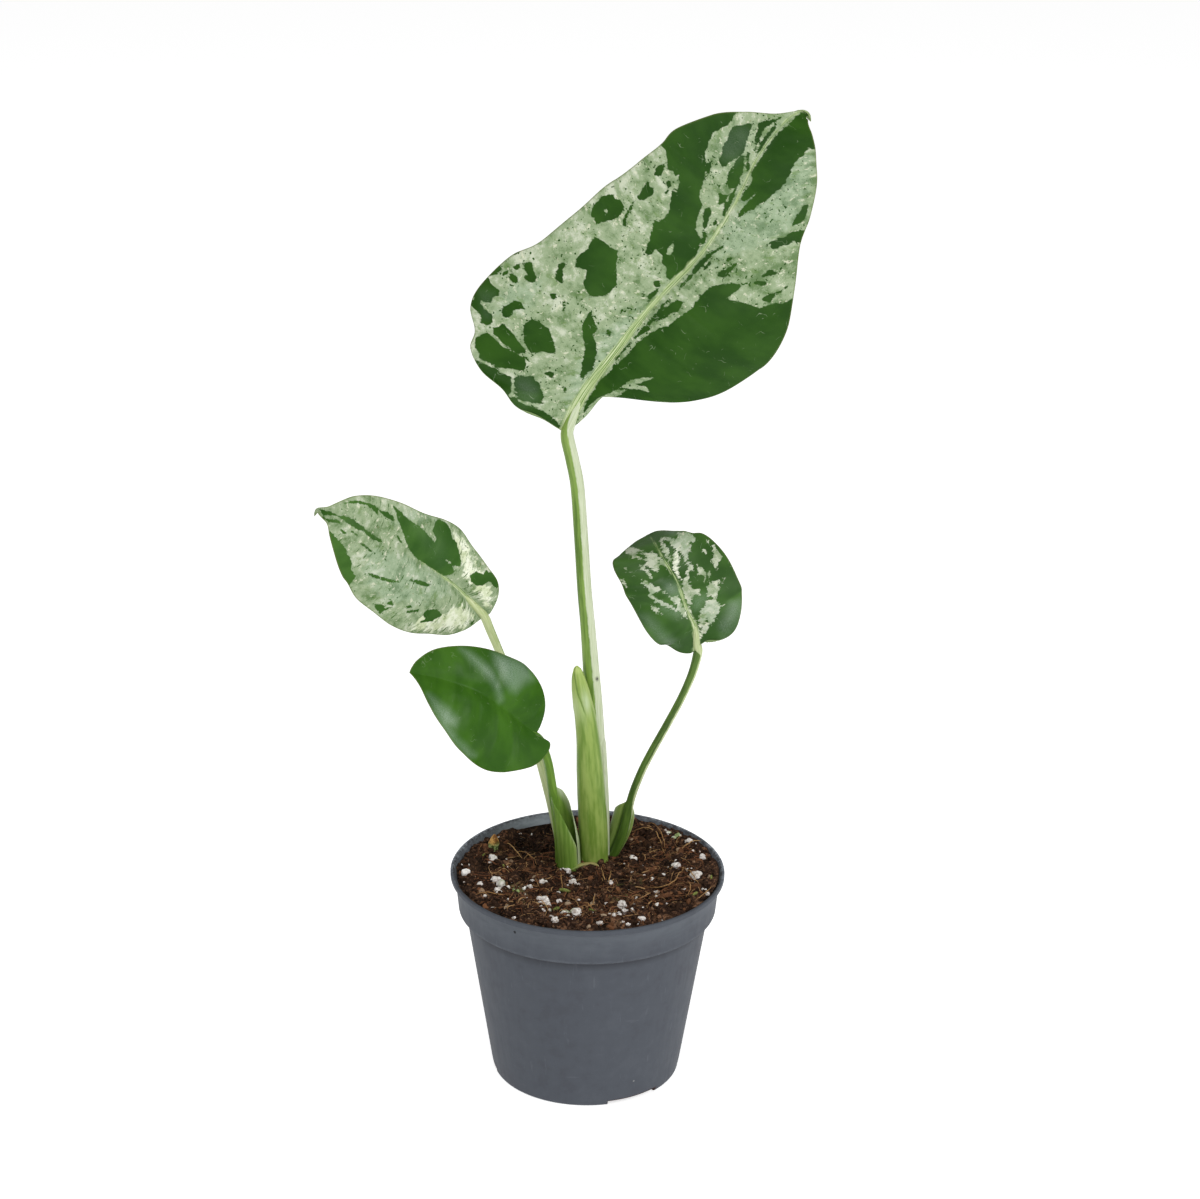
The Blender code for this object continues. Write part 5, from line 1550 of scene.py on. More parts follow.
print("midribs of", {name: round(float(arc_length(smooth_curve(leaf["midrib"], MIDRIB_POINTS))[-1]))
                     for name, leaf in LEAVES.items()}, "mm")

# %% Surface of a blade
def half_blade(leaf, side):
    """Half a blade as rows of points from midrib to margin, with the leaf's own coordinates.

    Returns the points, the up direction of each row, (across, along) of each point in
    the flattened leaf, and (vein, reach), the vein's place and the way run along it.
    """
    midrib = smooth_curve(leaf["midrib"], MIDRIB_POINTS)
    run = arc_length(midrib)
    length = run[-1]
    tangent = unit(np.gradient(midrib, run, axis=0))
    share = (run / length)[:, None]
    face = unit(leaf["face"]) * (1 - share) + unit(leaf["face_tip"]) * share
    face = unit(face - (face * tangent).sum(1, keepdims=True) * tangent)

    t = np.linspace(0, 1, leaf["rows"] + 1)
    margin = smooth_curve([(0, 0), *pairs(leaf[side]), (0, length)], leaf["rows"] + 1)
    start = length * t**VEIN_LAG
    root, ahead, up = (np.stack([np.interp(start, run, c) for c in field.T], -1)
                       for field in (midrib, tangent, face))
    up = unit(up)
    sign = -1 if side == "left" else 1
    outward = np.cross(ahead, up) * sign

    reach = np.hypot(margin[:, 0], margin[:, 1] - start)
    safe = np.maximum(reach, 1e-6)
    way = (outward * (margin[:, 0] / safe)[:, None]
           + ahead * ((margin[:, 1] - start) / safe)[:, None])
    s = np.linspace(0, 1, leaf["columns"] + 1)[None]
    slope = -stepped(leaf["lift"][side], t)[:, None]
    bend = stepped(leaf["bend"][side], t)[:, None]
    along = reach[:, None] * s
    flat = (np.sin(slope + bend * along) - np.sin(slope)) / bend
    drop = (np.cos(slope + bend * along) - np.cos(slope)) / bend
    height, waves, phase = leaf["wave"][side]
    ripple = height * np.sin(waves * t[:, None] + phase) * s**2 * along / 60
    bow = -VEIN_BOW * margin[:, :1] * 4 * s * (1 - s)
    points = (root[:, None] + way[:, None] * flat[..., None]
              + up[:, None] * (drop + ripple)[..., None] + ahead[:, None] * bow[..., None])
    length_on = start[:, None] + (margin[:, 1] - start)[:, None] * s + bow
    place = np.stack([sign * margin[:, :1] * s, length_on], -1)
    vein = np.stack([np.repeat(start[:, None], s.size, 1), along], -1)
    to_margin = reach[:, None] * (1 - s)
    return points, np.repeat(up[:, None], s.size, 1), place, vein, to_margin


def whole_blade(leaf):
    """Both halves side by side, without the rows at the base and the tip."""
    left, right = half_blade(leaf, "left"), half_blade(leaf, "right")
    return [np.concatenate([a[:, :0:-1], b], axis=1)[1:-1] for a, b in zip(left, right)]


blade_test = whole_blade(LEAVES["tall_leaf"])
print("tall blade grid", blade_test[0].shape[:2], "widest half",
      round(float(np.abs(blade_test[2][..., 0]).max()), 1), "mm")

# %% [markdown]
# ## Relief and thickness
#
# Seen closely a blade isn't smooth: the midrib lies in a channel above and stands
# out below, the main side veins are pressed in, the tissue between them is slightly
# pillowed, and the whole sheet is a little uneven. All of it is real geometry here,
# since a bump alone would leave the outline and the reflections of a plastic sheet.
# %% Blade solid
BLADE = 0.5                   # thickness of the blade
MARGIN = 0.25                 # and of its edge


def to_side_vein(leaf, start, across, length):
    """Place between the side veins, and distance to the nearest; they leave the midrib by turns."""
    phase = start / length * leaf["pairs"] + 0.25 * np.sign(across)
    return phase, np.abs(phase - np.round(phase)) * length / leaf["pairs"]


def relief(leaf, place, vein, to_margin, length):
    """Height of the upper surface over the plain sheet."""
    across, along = np.moveaxis(place, -1, 0)
    share = np.clip(along / length, 0, 1)
    width = 1.5 + 1.3 * (1 - share)
    begun = ramp(along, 0.02 * length, 0.10 * length)
    channel = -0.75 * begun * (1 - 0.75 * share) * np.exp(-(across / width)**2)
    shoulder = 0.22 * begun * (1 - share) * np.exp(-((np.abs(across) - 2.4 * width) / width)**2)
    phase, away = to_side_vein(leaf, vein[..., 0], across, length)
    inner = ramp(np.abs(across), 1.5, 8) * ramp(to_margin, 0.5, 9)
    pressed = -0.16 * np.exp(-(away / 0.8)**2) * inner
    pillow = 0.16 * np.cos(2 * math.pi * phase) * -1 * inner
    return channel + shoulder + pressed + pillow


def unevenness(points):
    """Slow and quick waves over the whole sheet."""
    flat = points.reshape(-1, 3)
    return (0.30 * bumps(flat, 17.0, 3) + 0.07 * bumps(flat, 4.5, 4)).reshape(points.shape[:-1])


def normals_of(points, faces):
    """Mean direction of the faces round each point."""
    tri = np.array([(f[0], f[i], f[i + 1]) for f in faces for i in range(1, len(f) - 1)])
    a, b, c = (points[tri[:, i]] for i in range(3))
    cross = np.cross(b - a, c - a)
    total = np.zeros_like(points)
    for i in range(3):
        np.add.at(total, tri[:, i], cross)
    return unit(total)


def blade_skin(n, k):
    """Faces over n rows of k points, closed by a fan at the base and one at the tip."""
    base, tip = n * k, n * k + 1
    skin = [(i * k + j, i * k + j + 1, (i + 1) * k + j + 1, (i + 1) * k + j)
            for i in range(n - 1) for j in range(k - 1)]
    skin += [(base, j + 1, j) for j in range(k - 1)]
    skin += [(tip, (n - 1) * k + j, (n - 1) * k + j + 1) for j in range(k - 1)]
    rim = ([base] + [i * k for i in range(n)] + [tip] + [i * k + k - 1 for i in reversed(range(n))])
    return skin, rim


def make_blade(name, finish, blotches, slot):
    """Thickens the sheet with its keel and veins, marks it and hands it over."""
    leaf = LEAVES[name]
    points, up, place, vein, to_margin = whole_blade(leaf)
    n, k = points.shape[:2]
    midrib = smooth_curve(leaf["midrib"], MIDRIB_POINTS)
    length = arc_length(midrib)[-1]
    points = points + up * (relief(leaf, place, vein, to_margin, length) * ramp(to_margin, 0, 2.0)
                            + unevenness(points))[..., None]
    top = np.vstack([points.reshape(-1, 3), midrib[[0, -1]]])
    skin, rim = blade_skin(n, k)
    normal = normals_of(top, skin)
    normal *= np.sign(normal[(n // 2) * k + k // 4] @ -np.asarray(leaf["face"]))
    flat_place = np.vstack([place.reshape(-1, 2), (0, 0), (0, length)])
    across, along = flat_place.T
    share = np.clip(along / length, 0, 1)
    inset = np.concatenate([to_margin.ravel(), [6, 0]])
    thick = MARGIN + (BLADE - MARGIN) * ramp(inset, 0, 3)
    keel_width = leaf["keel"] * (1.05 - 0.7 * share)
    keel = leaf["keel"] * (1 - share)**1.3 * ramp(along, 2, 0.14 * length)
    thick += keel * np.sqrt(np.maximum(1 - (across / keel_width)**2, 0))
    _, away = to_side_vein(leaf, np.concatenate([vein[..., 0].ravel(), [0, length]]), across, length)
    thick += 0.25 * np.exp(-(away / 0.7)**2) * ramp(np.abs(across), 0.5, 3) * ramp(inset, 1, 12)
    below = top + normal * thick[:, None]
    shift = len(top)
    faces = skin + [tuple(v + shift for v in reversed(face)) for face in skin]
    faces += [(a, b, b + shift, a + shift) for a, b in zip(rim, rim[1:] + rim[:1])]
    flat_vein = np.vstack([vein.reshape(-1, 2), (0, 0), (length, 0)])
    marks = {
        "place": in_space(*flat_place.T),
        "vein": in_space(*flat_vein.T),
        "green": patch_distance(flat_place, blotches["green"], blotches["pale"], blotches["back"]),
        "rib": rib_distance(name, across, along),
        **{kind: patch_distance(flat_place, blotches[kind]) for kind in ("cream", "silver", "gloss")},
        "inset": inset,
    }
    marks = {key: np.concatenate([values, values]) for key, values in marks.items()}
    marks["under"] = np.concatenate([np.zeros(len(top)), np.ones(len(top))])
    obj = make_mesh(name + "_blade", np.vstack([top, below]), faces, finish, marks)
    settle(obj, slot, name)


print("blade", BLADE, "mm thick,", MARGIN, "mm at its edge")

# %% [markdown]
# ## Where the leaf is green
#
# Variegation is patches of tissue whose cells can or can't make leaf green, so each
# patch is an island that follows the veins. Scattered noise never looks like that.
# The islands that make this leaf itself are drawn as short outlines: runs of
# across,along pairs, in millimetres from the midrib and from the leaf's base. Each
# point of the mesh keeps its distance to the nearest border, which the shader frays.
# %% Distance to the blotches
FAR = 40.0                    # distance where there is no blotch at all


def outline_distance(points, outline):
    """Distance from points to a closed outline, negative inside it."""
    corners = pairs(outline)
    best = np.full(len(points), 1e9)
    inside = np.zeros(len(points), bool)
    for (ax, ay), (bx, by) in zip(corners, np.roll(corners, -1, axis=0)):
        ex, ey = bx - ax, by - ay
        px, py = points[:, 0] - ax, points[:, 1] - ay
        near = np.clip((px * ex + py * ey) / max(ex * ex + ey * ey, 1e-9), 0, 1)
        best = np.minimum(best, np.hypot(px - near * ex, py - near * ey))
        if ay != by:
            inside ^= ((points[:, 1] < ay) != (points[:, 1] < by)) & (px < py * ex / ey)
    return np.where(inside, -best, best)


def patch_distance(points, patches, holes=(), islands=()):
    """Distance to the nearest border of the patches, less the holes, plus the islands in the holes."""
    nearest = np.full(len(points), FAR)
    for outlines, choose, sign in ((patches, np.minimum, 1), (holes, np.maximum, -1),
                                   (islands, np.minimum, 1)):
        for outline in outlines:
            nearest = choose(nearest, sign * outline_distance(points, outline))
    return nearest


RIB_LINES = {                 # along, middle and half width of the pale band on the midrib
    "tall_leaf": ((0, -0.8, 2.6), (30, -0.4, 1.9), (60, 0.2, 1.3), (100, 0.7, 0.8), (120, 1.2, 0.5),
                  (140, 0.6, 0.2), (172, 0.3, 0.2)),
    "left_leaf": ((0, 0, 1.6), (15, 0, 0.7), (30, 0, 0.2), (44, 0, -0.6), (95, 0, -1.5)),
    "front_leaf": ((0, 0, -2), (70, 0, -2)),
    "right_leaf": ((0, 0, 1.7), (8, 0, 1.1), (16, 0, 0.6), (40, 0, 0.3), (60, 0, 0.0), (64, 0, -0.5)),
}


def rib_distance(name, across, along):
    """Distance to the border of the pale band, negative inside it."""
    place, middle, half = np.transpose(RIB_LINES[name])
    return np.abs(across - np.interp(along, place, middle)) - np.interp(along, place, half)


print("a square's middle lies", outline_distance(np.array([[1.0, 1.0]]), (0,0, 2,0, 2,2, 0,2))[0])

# %% Blotches of the tall leaf, left half
TALL_LEFT = (
    (-37,68.5, -32,70, -28.5,70, -25.5,71.5, -22,66.5, -16,61.5, -17,56, -22,51.5, -27.5,53.5, -30,58,
     -34.5,56.5, -36.5,58.5, -35.5,64),
    (-38,26.5, -37,30.5, -34.5,31.5, -28.5,32, -24,29, -19,24.5, -24,22.5, -28,18.5, -32.5,20),
    (-47,17.5, -44.5,22, -40,21, -33,19, -29,17.5, -33,15, -39.5,14.5, -45.5,15.5),
    (-50.5,9.5, -48,14, -45,14, -39,13.5, -28.5,15.5, -26,11.5, -32.5,7.5, -36.5,6, -44.5,4.5, -49,7.5),
    (-46,4, -40,4.5, -33.5,5.5, -29,6.5, -27.5,4.5, -30,0.5, -36,1, -43,0.5),
    (-28.5,6.5, -26.5,9, -21.5,11.5, -18,11, -14.5,9, -13.5,7, -17.5,5, -22.5,4, -26,4.5),
    (-30,3, -26.5,4, -22,3.5, -17,4, -12.5,4.5, -8,4, -5.5,3, -3,1.5, -2,-1, -13,-1, -24.5,-1),
    (-64,34.5, -57.5,32, -54.5,32.5, -53.5,30.5, -55,28.5, -54,25.5, -58,24, -62,23, -65,29),
    (-63.5,20.5, -60,23, -54,22, -50,21.5, -48.5,18, -50,16, -53,15.5, -54,18.5, -59,19),
    (-64,34.5, -61,40.5, -59,39.5, -59.5,37, -61.5,34.5),
    (-58,38.5, -56,41.5, -55.5,40, -57,37.5),
    (-55,38.5, -55,40.5, -51.5,41, -49.5,39, -52,37.5),
    (-55.5,42.5, -54.5,45.5, -52.5,44, -53.5,42.5),
    (-53,46.5, -50.5,48.5, -47.5,46, -44.5,45, -44.5,43.5, -46,41.5, -49.5,42, -48,43.5, -51,44.5),
    (-59.5,45.5, -58.5,48.5, -55.5,52, -57,49.5, -59,45.5),
    (-49.5,27.5, -48,29.5, -47.5,32.5, -43.5,34, -41,32.5, -44,31, -45,28.5, -43.5,28, -46,24, -48,25),
    (-41.5,54, -38.5,55, -37,52, -34.5,49, -38,48, -39.5,49.5, -40,52),
    (-36.5,43.5, -34.5,44.5, -32.5,43, -35,42),
    (-30.5,44, -29,44.5, -27,41, -28,40.5, -29,42.5),
    (-42.5,61, -42,62, -41.5,61, -42,60.5),
    (-19,15, -17.5,17.5, -15,18, -14.5,16, -17.5,15),
    (-9.5,16, -7.5,16, -6.5,14, -7.5,13.5),
    (-9,46, -8,46.5, -6,45.5, -6,43.5, -8,44),
    (-18.5,47.5, -16.5,46.5, -12,43.5, -12,40.5, -9.5,39, -7,36.5, -3,28.5, -4.5,25.5, -4,22.5, -5.5,23,
     -8.5,28, -11,33.5, -15.5,38, -18,41, -18.5,44.5),
    (-46,77, -46.5,82.5, -43.5,89.5, -41.5,87.5, -39.5,89.5, -36.5,88, -35,83, -36,79.5, -38,76.5, -39.5,73,
     -42.5,74, -43.5,73.5),
    (-35,98, -35,108, -34,108.5, -33,106.5, -31,107.5, -30,104, -32,98.5, -34,97.5),
    (-35.5,95, -34.5,96, -33.5,90.5, -32.5,85, -30.5,81, -31.5,80.5, -34,84, -34.5,89.5),
    (-34.5,112, -34.5,117, -32.5,119, -31.5,116.5, -31,113.5, -33.5,112),
    (-28,113, -27.5,114.5, -26.5,114, -25.5,112, -25,108.5, -26,108, -26.5,110.5),
    (-42,126, -40,133, -37.5,139, -33,144, -27,148.5, -22,152, -18,154, -17,150, -17,146, -19,143,
     -20.5,140.5, -20,137.5, -19.5,133.5, -16,126.5, -14.5,121, -14,117, -13,114.5, -10,112, -10,109.5,
     -9,106, -7.5,101.5, -3.5,99.5, -1.5,96, -0.5,92, 0,86, -1,81, -1.5,78, -3,77, -6,80, -9,80.5, -11,83,
     -14.5,83, -15,78.5, -17,78.5, -19,83.5, -23,93, -23.5,96, -21.5,94, -20.5,99, -21.5,104.5, -23,107.5,
     -24.5,111, -23.5,112, -21.5,110, -23,113.5, -23,116, -24,116, -25,118, -26,117, -28,118, -30.5,117.5,
     -32.5,121.5, -35,124.5),
    (-26,100.5, -27,103, -26.5,103, -25.5,100.5),
    (-22.5,97.5, -23,100.5, -22.5,100, -22,97.5),
    (-7,66.5, -6,67.5, -4,65, -5.5,65),
    (-15.5,146, -12,149, -9,151.5, -8,148, -7,145, -5.5,141, -5.5,139, -7.5,136, -9,132.5, -10.5,130.5,
     -13,132.5, -13,135, -14,137.5, -14,141, -15,143.5),
    (-17.5,129.5, -15.5,131.5, -14.5,129.5, -14,125.5, -14,122.5, -15.5,125.5),
    (-5,139, -3.5,137.5, -2,134, -1.5,129.5, -1,126, -4,123.5, -6,126.5, -7,129, -7,132, -6,137),
    (-7,119.5, -6.5,121, -5,120.5, -3,121.5, -2.5,118, -5,115.5, -5.5,118),
    (-1.5,125.5, -0.5,122, 0,119, 0,107.5, -0.5,110, -1,114, -2.5,117, -2,119.5, -2.5,122.5),
    (-2.5,107.5, -3,110, -2,111, -1,108, -1.5,107),
    (-8.5,109.5, -8.5,112.5, -7,113, -5.5,111.5, -4.5,107.5, -4,103.5, -1.5,102.5, -1,99.5, -1.5,98,
     -2.5,99, -4.5,102.5, -6.5,107),
    (-7.5,152.5, -5.5,155.5, -2,161, -2,158.5, -3.5,155, -4,151.5, -3.5,149, -1.5,143.5, 0,141.5, -1,142,
     -3.5,145, -5.5,148, -6,150.5),
    (-2,157.5, -0.5,155.5, -0.5,151.5, 0,148, 0,141.5, -1,144, -2,148.5, -2,155.5),
    (-4.5,140.5, -3,141, -1.5,138, 0,136, 0,133, -1,134.5, -2.5,137),
    (-5.5,71.5, -6,74.5, -4.5,74.5, -2.5,73, -1.5,70, -1.5,67, -1,64, -2.5,64.5, -4,68, -3,70, -3,71.5,
     -5,71),
)
print("left half of the tall leaf:", len(TALL_LEFT), "green patches")

# %% Blotches of the tall leaf, right half
TALL_RIGHT = (
    (1.5,166, 2.5,162.5, 1.5,155, 1.5,149.5, 2,142.5, 1.5,137, 1,134, 3,132.5, 3,129, 2,125, 2.5,122, 4,122,
     6,125, 7.5,129, 5.5,121.5, 4.5,118, 5,113.5, 6,115.5, 10,123, 12.5,127, 14.5,131.5, 16,135.5, 16,141,
     15.5,145.5, 15,149, 15.5,152.5, 15.5,157.5, 18,158.5, 22,160, 12,168, 6,174, 0,175),
    (26.5,124, 26,127, 27,131.5, 28.5,134, 29.5,132, 30,128.5, 29,126),
    (22,113, 22.5,114.5, 26,118, 27.5,121.5, 30.5,124, 35,126.5, 36,121, 30.5,119, 28,115.5, 24,111.5),
    (33.5,119.5, 34,120.5, 36.5,119, 34,118.5),
    (26.5,101.5, 27,103.5, 29,106, 32,106.5, 30.5,105, 27.5,102),
    (25.5,98.5, 25.5,99.5, 29,101.5, 30,101.5, 30,100.5, 27,98.5),
    (11.5,91.5, 11.5,93.5, 13,96, 15,100, 15.5,99, 15,96, 15,93.5, 13,92),
    (11,98, 11,99.5, 12.5,101, 12.5,100.5, 11.5,98),
    (6,104, 6,106, 6.5,106, 6.5,104.5),
    (2,90, 2.5,93.5, 3,96, 4.5,99.5, 6.5,102.5, 6.5,101, 5,97.5, 4.5,92.5, 4.5,77, 3.5,77.5, 3,85.5),
    (5.5,92.5, 5.5,96, 6.5,94, 6.5,91, 5.5,88, 6,85),
    (2.5,48, 3,53, 3.5,62, 3.5,66.5, 5.5,69, 6,73.5, 9.5,75.5, 10,72.5, 10,68, 8.5,69, 8.5,65.5, 7.5,63,
     5,60, 4.5,57, 6.5,57, 4,51.5),
    (1,38, 2.5,48.5, 3.5,48, 2,37.5),
    (3,66, 3.5,69.5, 4,75.5, 4.5,73.5, 4.5,69, 4,66.5),
    (2.5,13, 2,27.5, 3,32.5, 2.5,38, 3.5,36.5, 4.5,42, 5,48, 6,53, 8.5,59, 11.5,64, 12,69, 13.5,75, 13,78,
     12.5,82, 12.5,86, 15,90, 18,93, 22.5,95.5, 22,92, 21,88, 27,91, 32,93.5, 34.5,94.5, 36.5,98, 39.5,100,
     43.5,105.5, 58,100, 62,82, 60,60, 50,44, 34,32, 22,26, 14,22, 10,12, 5,8),
    (32.5,96.5, 33.5,100, 36,101.5, 38,106, 38.5,105.5, 36.5,101.5, 36,99, 36.5,98, 34,97),
)
TALL_HOLES = (
    (-41.5,79.5, -41.5,81, -40.5,81, -40,79.5),
    (-10,84.5, -11,87, -11,89.5, -12,92, -9,87.5, -8.5,85),
    (10.5,29, 12,35, 15,38, 20,42, 17,38, 14.5,34.5, 17,35.5, 19,36.5, 21,35.5, 18,34.5, 13.5,32, 10.5,30),
    (2.2,5, 3.4,10, 4.8,16, 7,22, 10,28.5, 13.5,31, 12.6,28, 10.2,23, 8.4,17, 7,12, 6,8, 4.6,5),
)
print("right half of the tall leaf:", len(TALL_RIGHT), "green patches,", len(TALL_HOLES), "pale holes")

# %% Blotches of the small leaves
LEFT_LEAF_GREEN = (
    (13,65, 13,61, 12,56.5, 12,49.5, 11.5,45, 10,39, 11.5,39, 13.5,42.5, 18,43.5, 20,42, 20.5,37.5, 19,34,
     16.5,33, 15,29, 13.5,27.5, 9,23, 7.5,23, 7,25, 5.5,26, 4,23.5, 0.5,26, 0,30, 0,35.5, 0,40, 0,43,
     1.5,48, 3.5,51.5, 6.5,55.5, 9,60, 11.5,62.5),
    (7.5,17.5, 10.5,16.5, 12,13.5, 14,13.5, 15,11, 17,8, 15,4, 12,5, 12,8, 11,9.5, 8.5,10.5, 6,12.5, 6,14.5,
     5.5,15.5),
    (5,18, 5.5,16, 3.5,15),
    (3,83.5, 6,80.5, 7.5,77, 9,72, 8.5,70, 6,68.5, 7,74.5, 5.5,79),
    (8,69.5, 9.5,65.5, 9,62, 7.5,61, 7,65, 7.5,68),
    (0,93.5, -1,90.5, -2.5,83.5, -1,79, -1.5,75, -1.5,70.5, -3,70.5, -4,73, -4,77.5, -3.5,81, -3,86.5,
     -3.5,91),
    (-3.5,91.5, -5,88, -4.5,83.5, -5.5,81, -6.5,88, -5,91.5),
    (-2,70.5, -2,67, -2,63, -2.5,60, -3.5,62.5, -4,66, -3.5,69.5),
    (-10.5,87.5, -10.5,83.5, -12,78.5, -13,74.5, -14,72, -15,72.5, -15.5,70, -17,68, -19.5,67, -21,63.5,
     -26,64, -26,69, -22.5,74, -18,79, -14,84),
    (-8,70.5, -7.5,67.5, -8,64, -8.5,61, -9,64.5, -8.5,68),
    (-7.5,81, -7.5,79, -8,75.5, -8.5,78.5),
    (-5.5,76.5, -5.5,74, -6,71.5, -6.5,74.5),
    (-17,59.5, -16,56, -15,51.5, -13.5,47, -13,44, -15,47.5, -16.5,52, -18,58.5),
    (-10.5,42, -8,38.5, -7,34.5, -6,30, -8.5,33, -9.5,37.5),
    (-23.5,45, -21.5,43.5, -22.5,42, -24,44),
    (-27,50, -25,46.5, -26,44.5, -23,41.5, -24,41.5, -27,44.5, -29,45, -28.5,48),
    (-21,38, -18.5,35, -19.5,34, -21,36.5),
    (-19,32, -18,30.5, -19.5,30, -22.5,35, -22,35.5),
    (-18,27.5, -16,26.5, -14,23, -13.5,19.5, -14,17, -18.5,20.5, -21.5,24.5, -23,27.5, -20,25, -19,27.5),
    (-7.5,2.5, -6,2.5, -4.5,1.5, -7,1.5),
    (1,25.5, 1,24.5, 0,18, 0,20, 0,24),
    (3.5,57.5, 3.5,55.5, 1,50, 1.5,53),
)
LEFT_LEAF_HOLES = ((6.5,30.5, 7,28.5, 6.5,27, 5.5,28.5),)
RIGHT_LEAF_PALE = (
    (-13,57, -10,60, -8.5,56, -7,51.5, -5,48.5, -2.5,47.5, -1.5,45.5, -0.5,42, 0,39, -1,38.5, -2.5,41.5,
     -2.5,43, -4,39.5, -5.5,38, -6.5,40, -8,42.5, -8.5,44, -7,45.5, -7.5,47, -9,47, -10,49, -11.5,49.5,
     -11.5,52, -12.5,55),
    (-10.5,45, -9.5,44.5, -9.5,42.5, -8.5,40, -9,37, -9.5,38, -10,40.5, -11,43, -11,44.5),
    (-14,39.5, -12,38, -10.5,35.5, -9.5,33, -8,31.5, -8.5,30, -10.5,29, -12,30, -13,31.5, -12.5,34.5,
     -13.5,37.5),
    (-13,31.5, -11.5,27.5, -9.5,25, -7,22.5, -4.5,20, -4,18.5, -5,19, -7.5,21, -10,23, -12,25.5, -13.5,28),
    (-14,24.5, -12.5,23, -11,21, -10.5,19.5, -12,19.5, -13,20.5, -14,22.5),
    (-7.5,29.5, -6,26.5, -4,24.5, -2,24.5, -1.5,22.5, -1,20, -1,16.5, -1.5,14, -2.5,15.5, -3,17.5, -4,19,
     -3.5,21, -4.5,23, -6,25.5, -7.5,28),
    (-16.5,48, -16,46.5, -15.5,45, -16.5,46, -17,47),
    (-21,45.5, -19.5,43.5, -20,41.5, -20,40, -21,42, -21.5,44),
    (11,52.5, 13,49.5, 15.5,47.5, 16.5,44.5, 15.5,42.5, 13.5,43, 12.5,41, 11.5,39, 10,39, 8.5,37, 7,35.5,
     7,37.5, 8,39.5, 7.5,41, 7,42.5, 5.5,43, 6,45, 5.5,46, 6,48.5, 5.5,49.5, 5,52, 7,51, 8,48, 10,48.5),
    (4,51.5, 3,49.5, 3.5,48, 3.5,45, 2.5,42.5, 2.5,40, 2,39.5, 1,42, 1,44.5, 1.5,47.5, 2,50, 2.5,53, 4,54,
     6,52.5, 7,50.5, 5,51),
    (4.5,42.5, 6,42.5, 6.5,40, 5,37.5, 3.5,36, 2,33, 2,29.5, 1.5,30, 1,34, 1.5,36.5, 2,39, 3.5,40),
    (2.5,29.5, 4.5,30.5, 5.5,32.5, 7,33, 7,34.5, 8.5,35, 9.5,33.5, 9,32, 7,31.5, 5.5,30, 5,28.5, 4,27.5),
    (2,29.5, 4,28, 4.5,27, 5,25.5, 7,24.5, 8.5,23, 7.5,22, 5,22.5, 3.5,21.5, 3,19.5, 1.5,18.5, 1,19, 1,22.5,
     1,25.5, 1.5,28),
    (11,32.5, 10.5,31.5, 12,31, 13,29.5, 12.5,28, 10.5,25.5, 10.5,26, 11.5,28, 10,29, 10,30.5),
    (14,28.5, 14.5,28.5, 13,26, 14,25, 16,25, 17.5,25, 21,25.5, 19.5,25, 17.5,24, 16.5,23.5, 16,21.5,
     14,19.5, 13,18.5, 12.5,19, 11.5,20.5, 10.5,20, 10.5,22, 11.5,24, 12.5,25),
    (12,19, 13.5,18, 14,14, 15,12, 12.5,11.5, 10,9.5, 7.5,8, 5,7, 3,5.5, 1.5,4.5, 1.5,6.5, 2.5,7.5, 5,9,
     7,10.5, 6.5,10.5, 3.5,9, 1.5,8, 0.5,7.5, 2,10, 3.5,12.5, 5,14.5, 8,16.5, 10,19),
    (20,41.5, 20,40, 19.5,38, 19,35, 19.5,34, 18.5,32.5, 16.5,31, 17,30, 17.5,29, 19.5,30, 20.5,31.5, 22,33,
     22,34.5, 20.5,34.5, 21,36.5, 22,37, 22,37.5, 21,36.5, 20.5,35, 19.5,35, 19.5,37.5, 20.5,40),
    (16.5,37, 17.5,37, 17.5,36, 17,35.5, 16,36),
    (0.5,18, 1.5,17, 1,13.5, 0.5,10.5, 0,8, 1.5,7.5, 1.5,4.5, 1,2.5, 0,2.5, 0,7.5, 0,11, 0,14.5, 0,17),
)
RIGHT_LEAF_HOLES = (
    (-9,52, -7.5,51, -6,48, -6.5,46.5, -8,47.5, -9.5,50),
    (-9,46.5, -7.5,45.5, -8,44, -9.5,45.5),
)
WHOLE = ((-99,-99, 99,-99, 99,199, -99,199),)         # a patch that covers the leaf
TALL_SILVER = (
    (8,95, 14,104, 22,113, 28,124, 26,140, 22,154, 16,156, 12,140, 4,124, 2,110),
    (-4,8, -10,22, -8,50, -3,62, 2,40),
    (-50,22, -38,34, -42,46, -54,36),
)
LEFT_SILVER = (
    (0,24, -4,20, -14,28, -24,46, -20,60, -8,66, -2,50),
    (6,60, 14,60, 22,44, 21,36, 16,48),
)
LEFT_CREAM = (
    (-3,4, -10,3, -20,12, -28,28, -20,28, -12,16, -4,12),
    (3,2, 8,3, 12,16, 17,26, 21,34, 18,34, 12,27, 6,20),
)
RIGHT_SILVER = (
    (-14,40, -8,30, -2,22, -2,14, -14,18),
    (4,20, 13,20, 16,12, 3,4),
    (4,56, 18,48, 16,38, 8,34, 4,44),
)
RIGHT_CREAM = ((-3,0, 3,0, 1.2,12, 0.6,22, -0.6,22, -1.4,12), RIGHT_LEAF_PALE[10])
# Gloss patches: a real coat and a painted sheen lie over them.
TALL_GLOSS = (
    (-17.5,142, -12,148.5, -7.5,149, -4.5,143, -6.5,134.5, -11.5,133.5, -16,137),
    (-28.5,7, -23.5,11, -17.5,10, -16,6, -20,3, -25.5,4.5),
    (-61.5,27, -56,31, -49.5,20.5, -53,17.5),
)
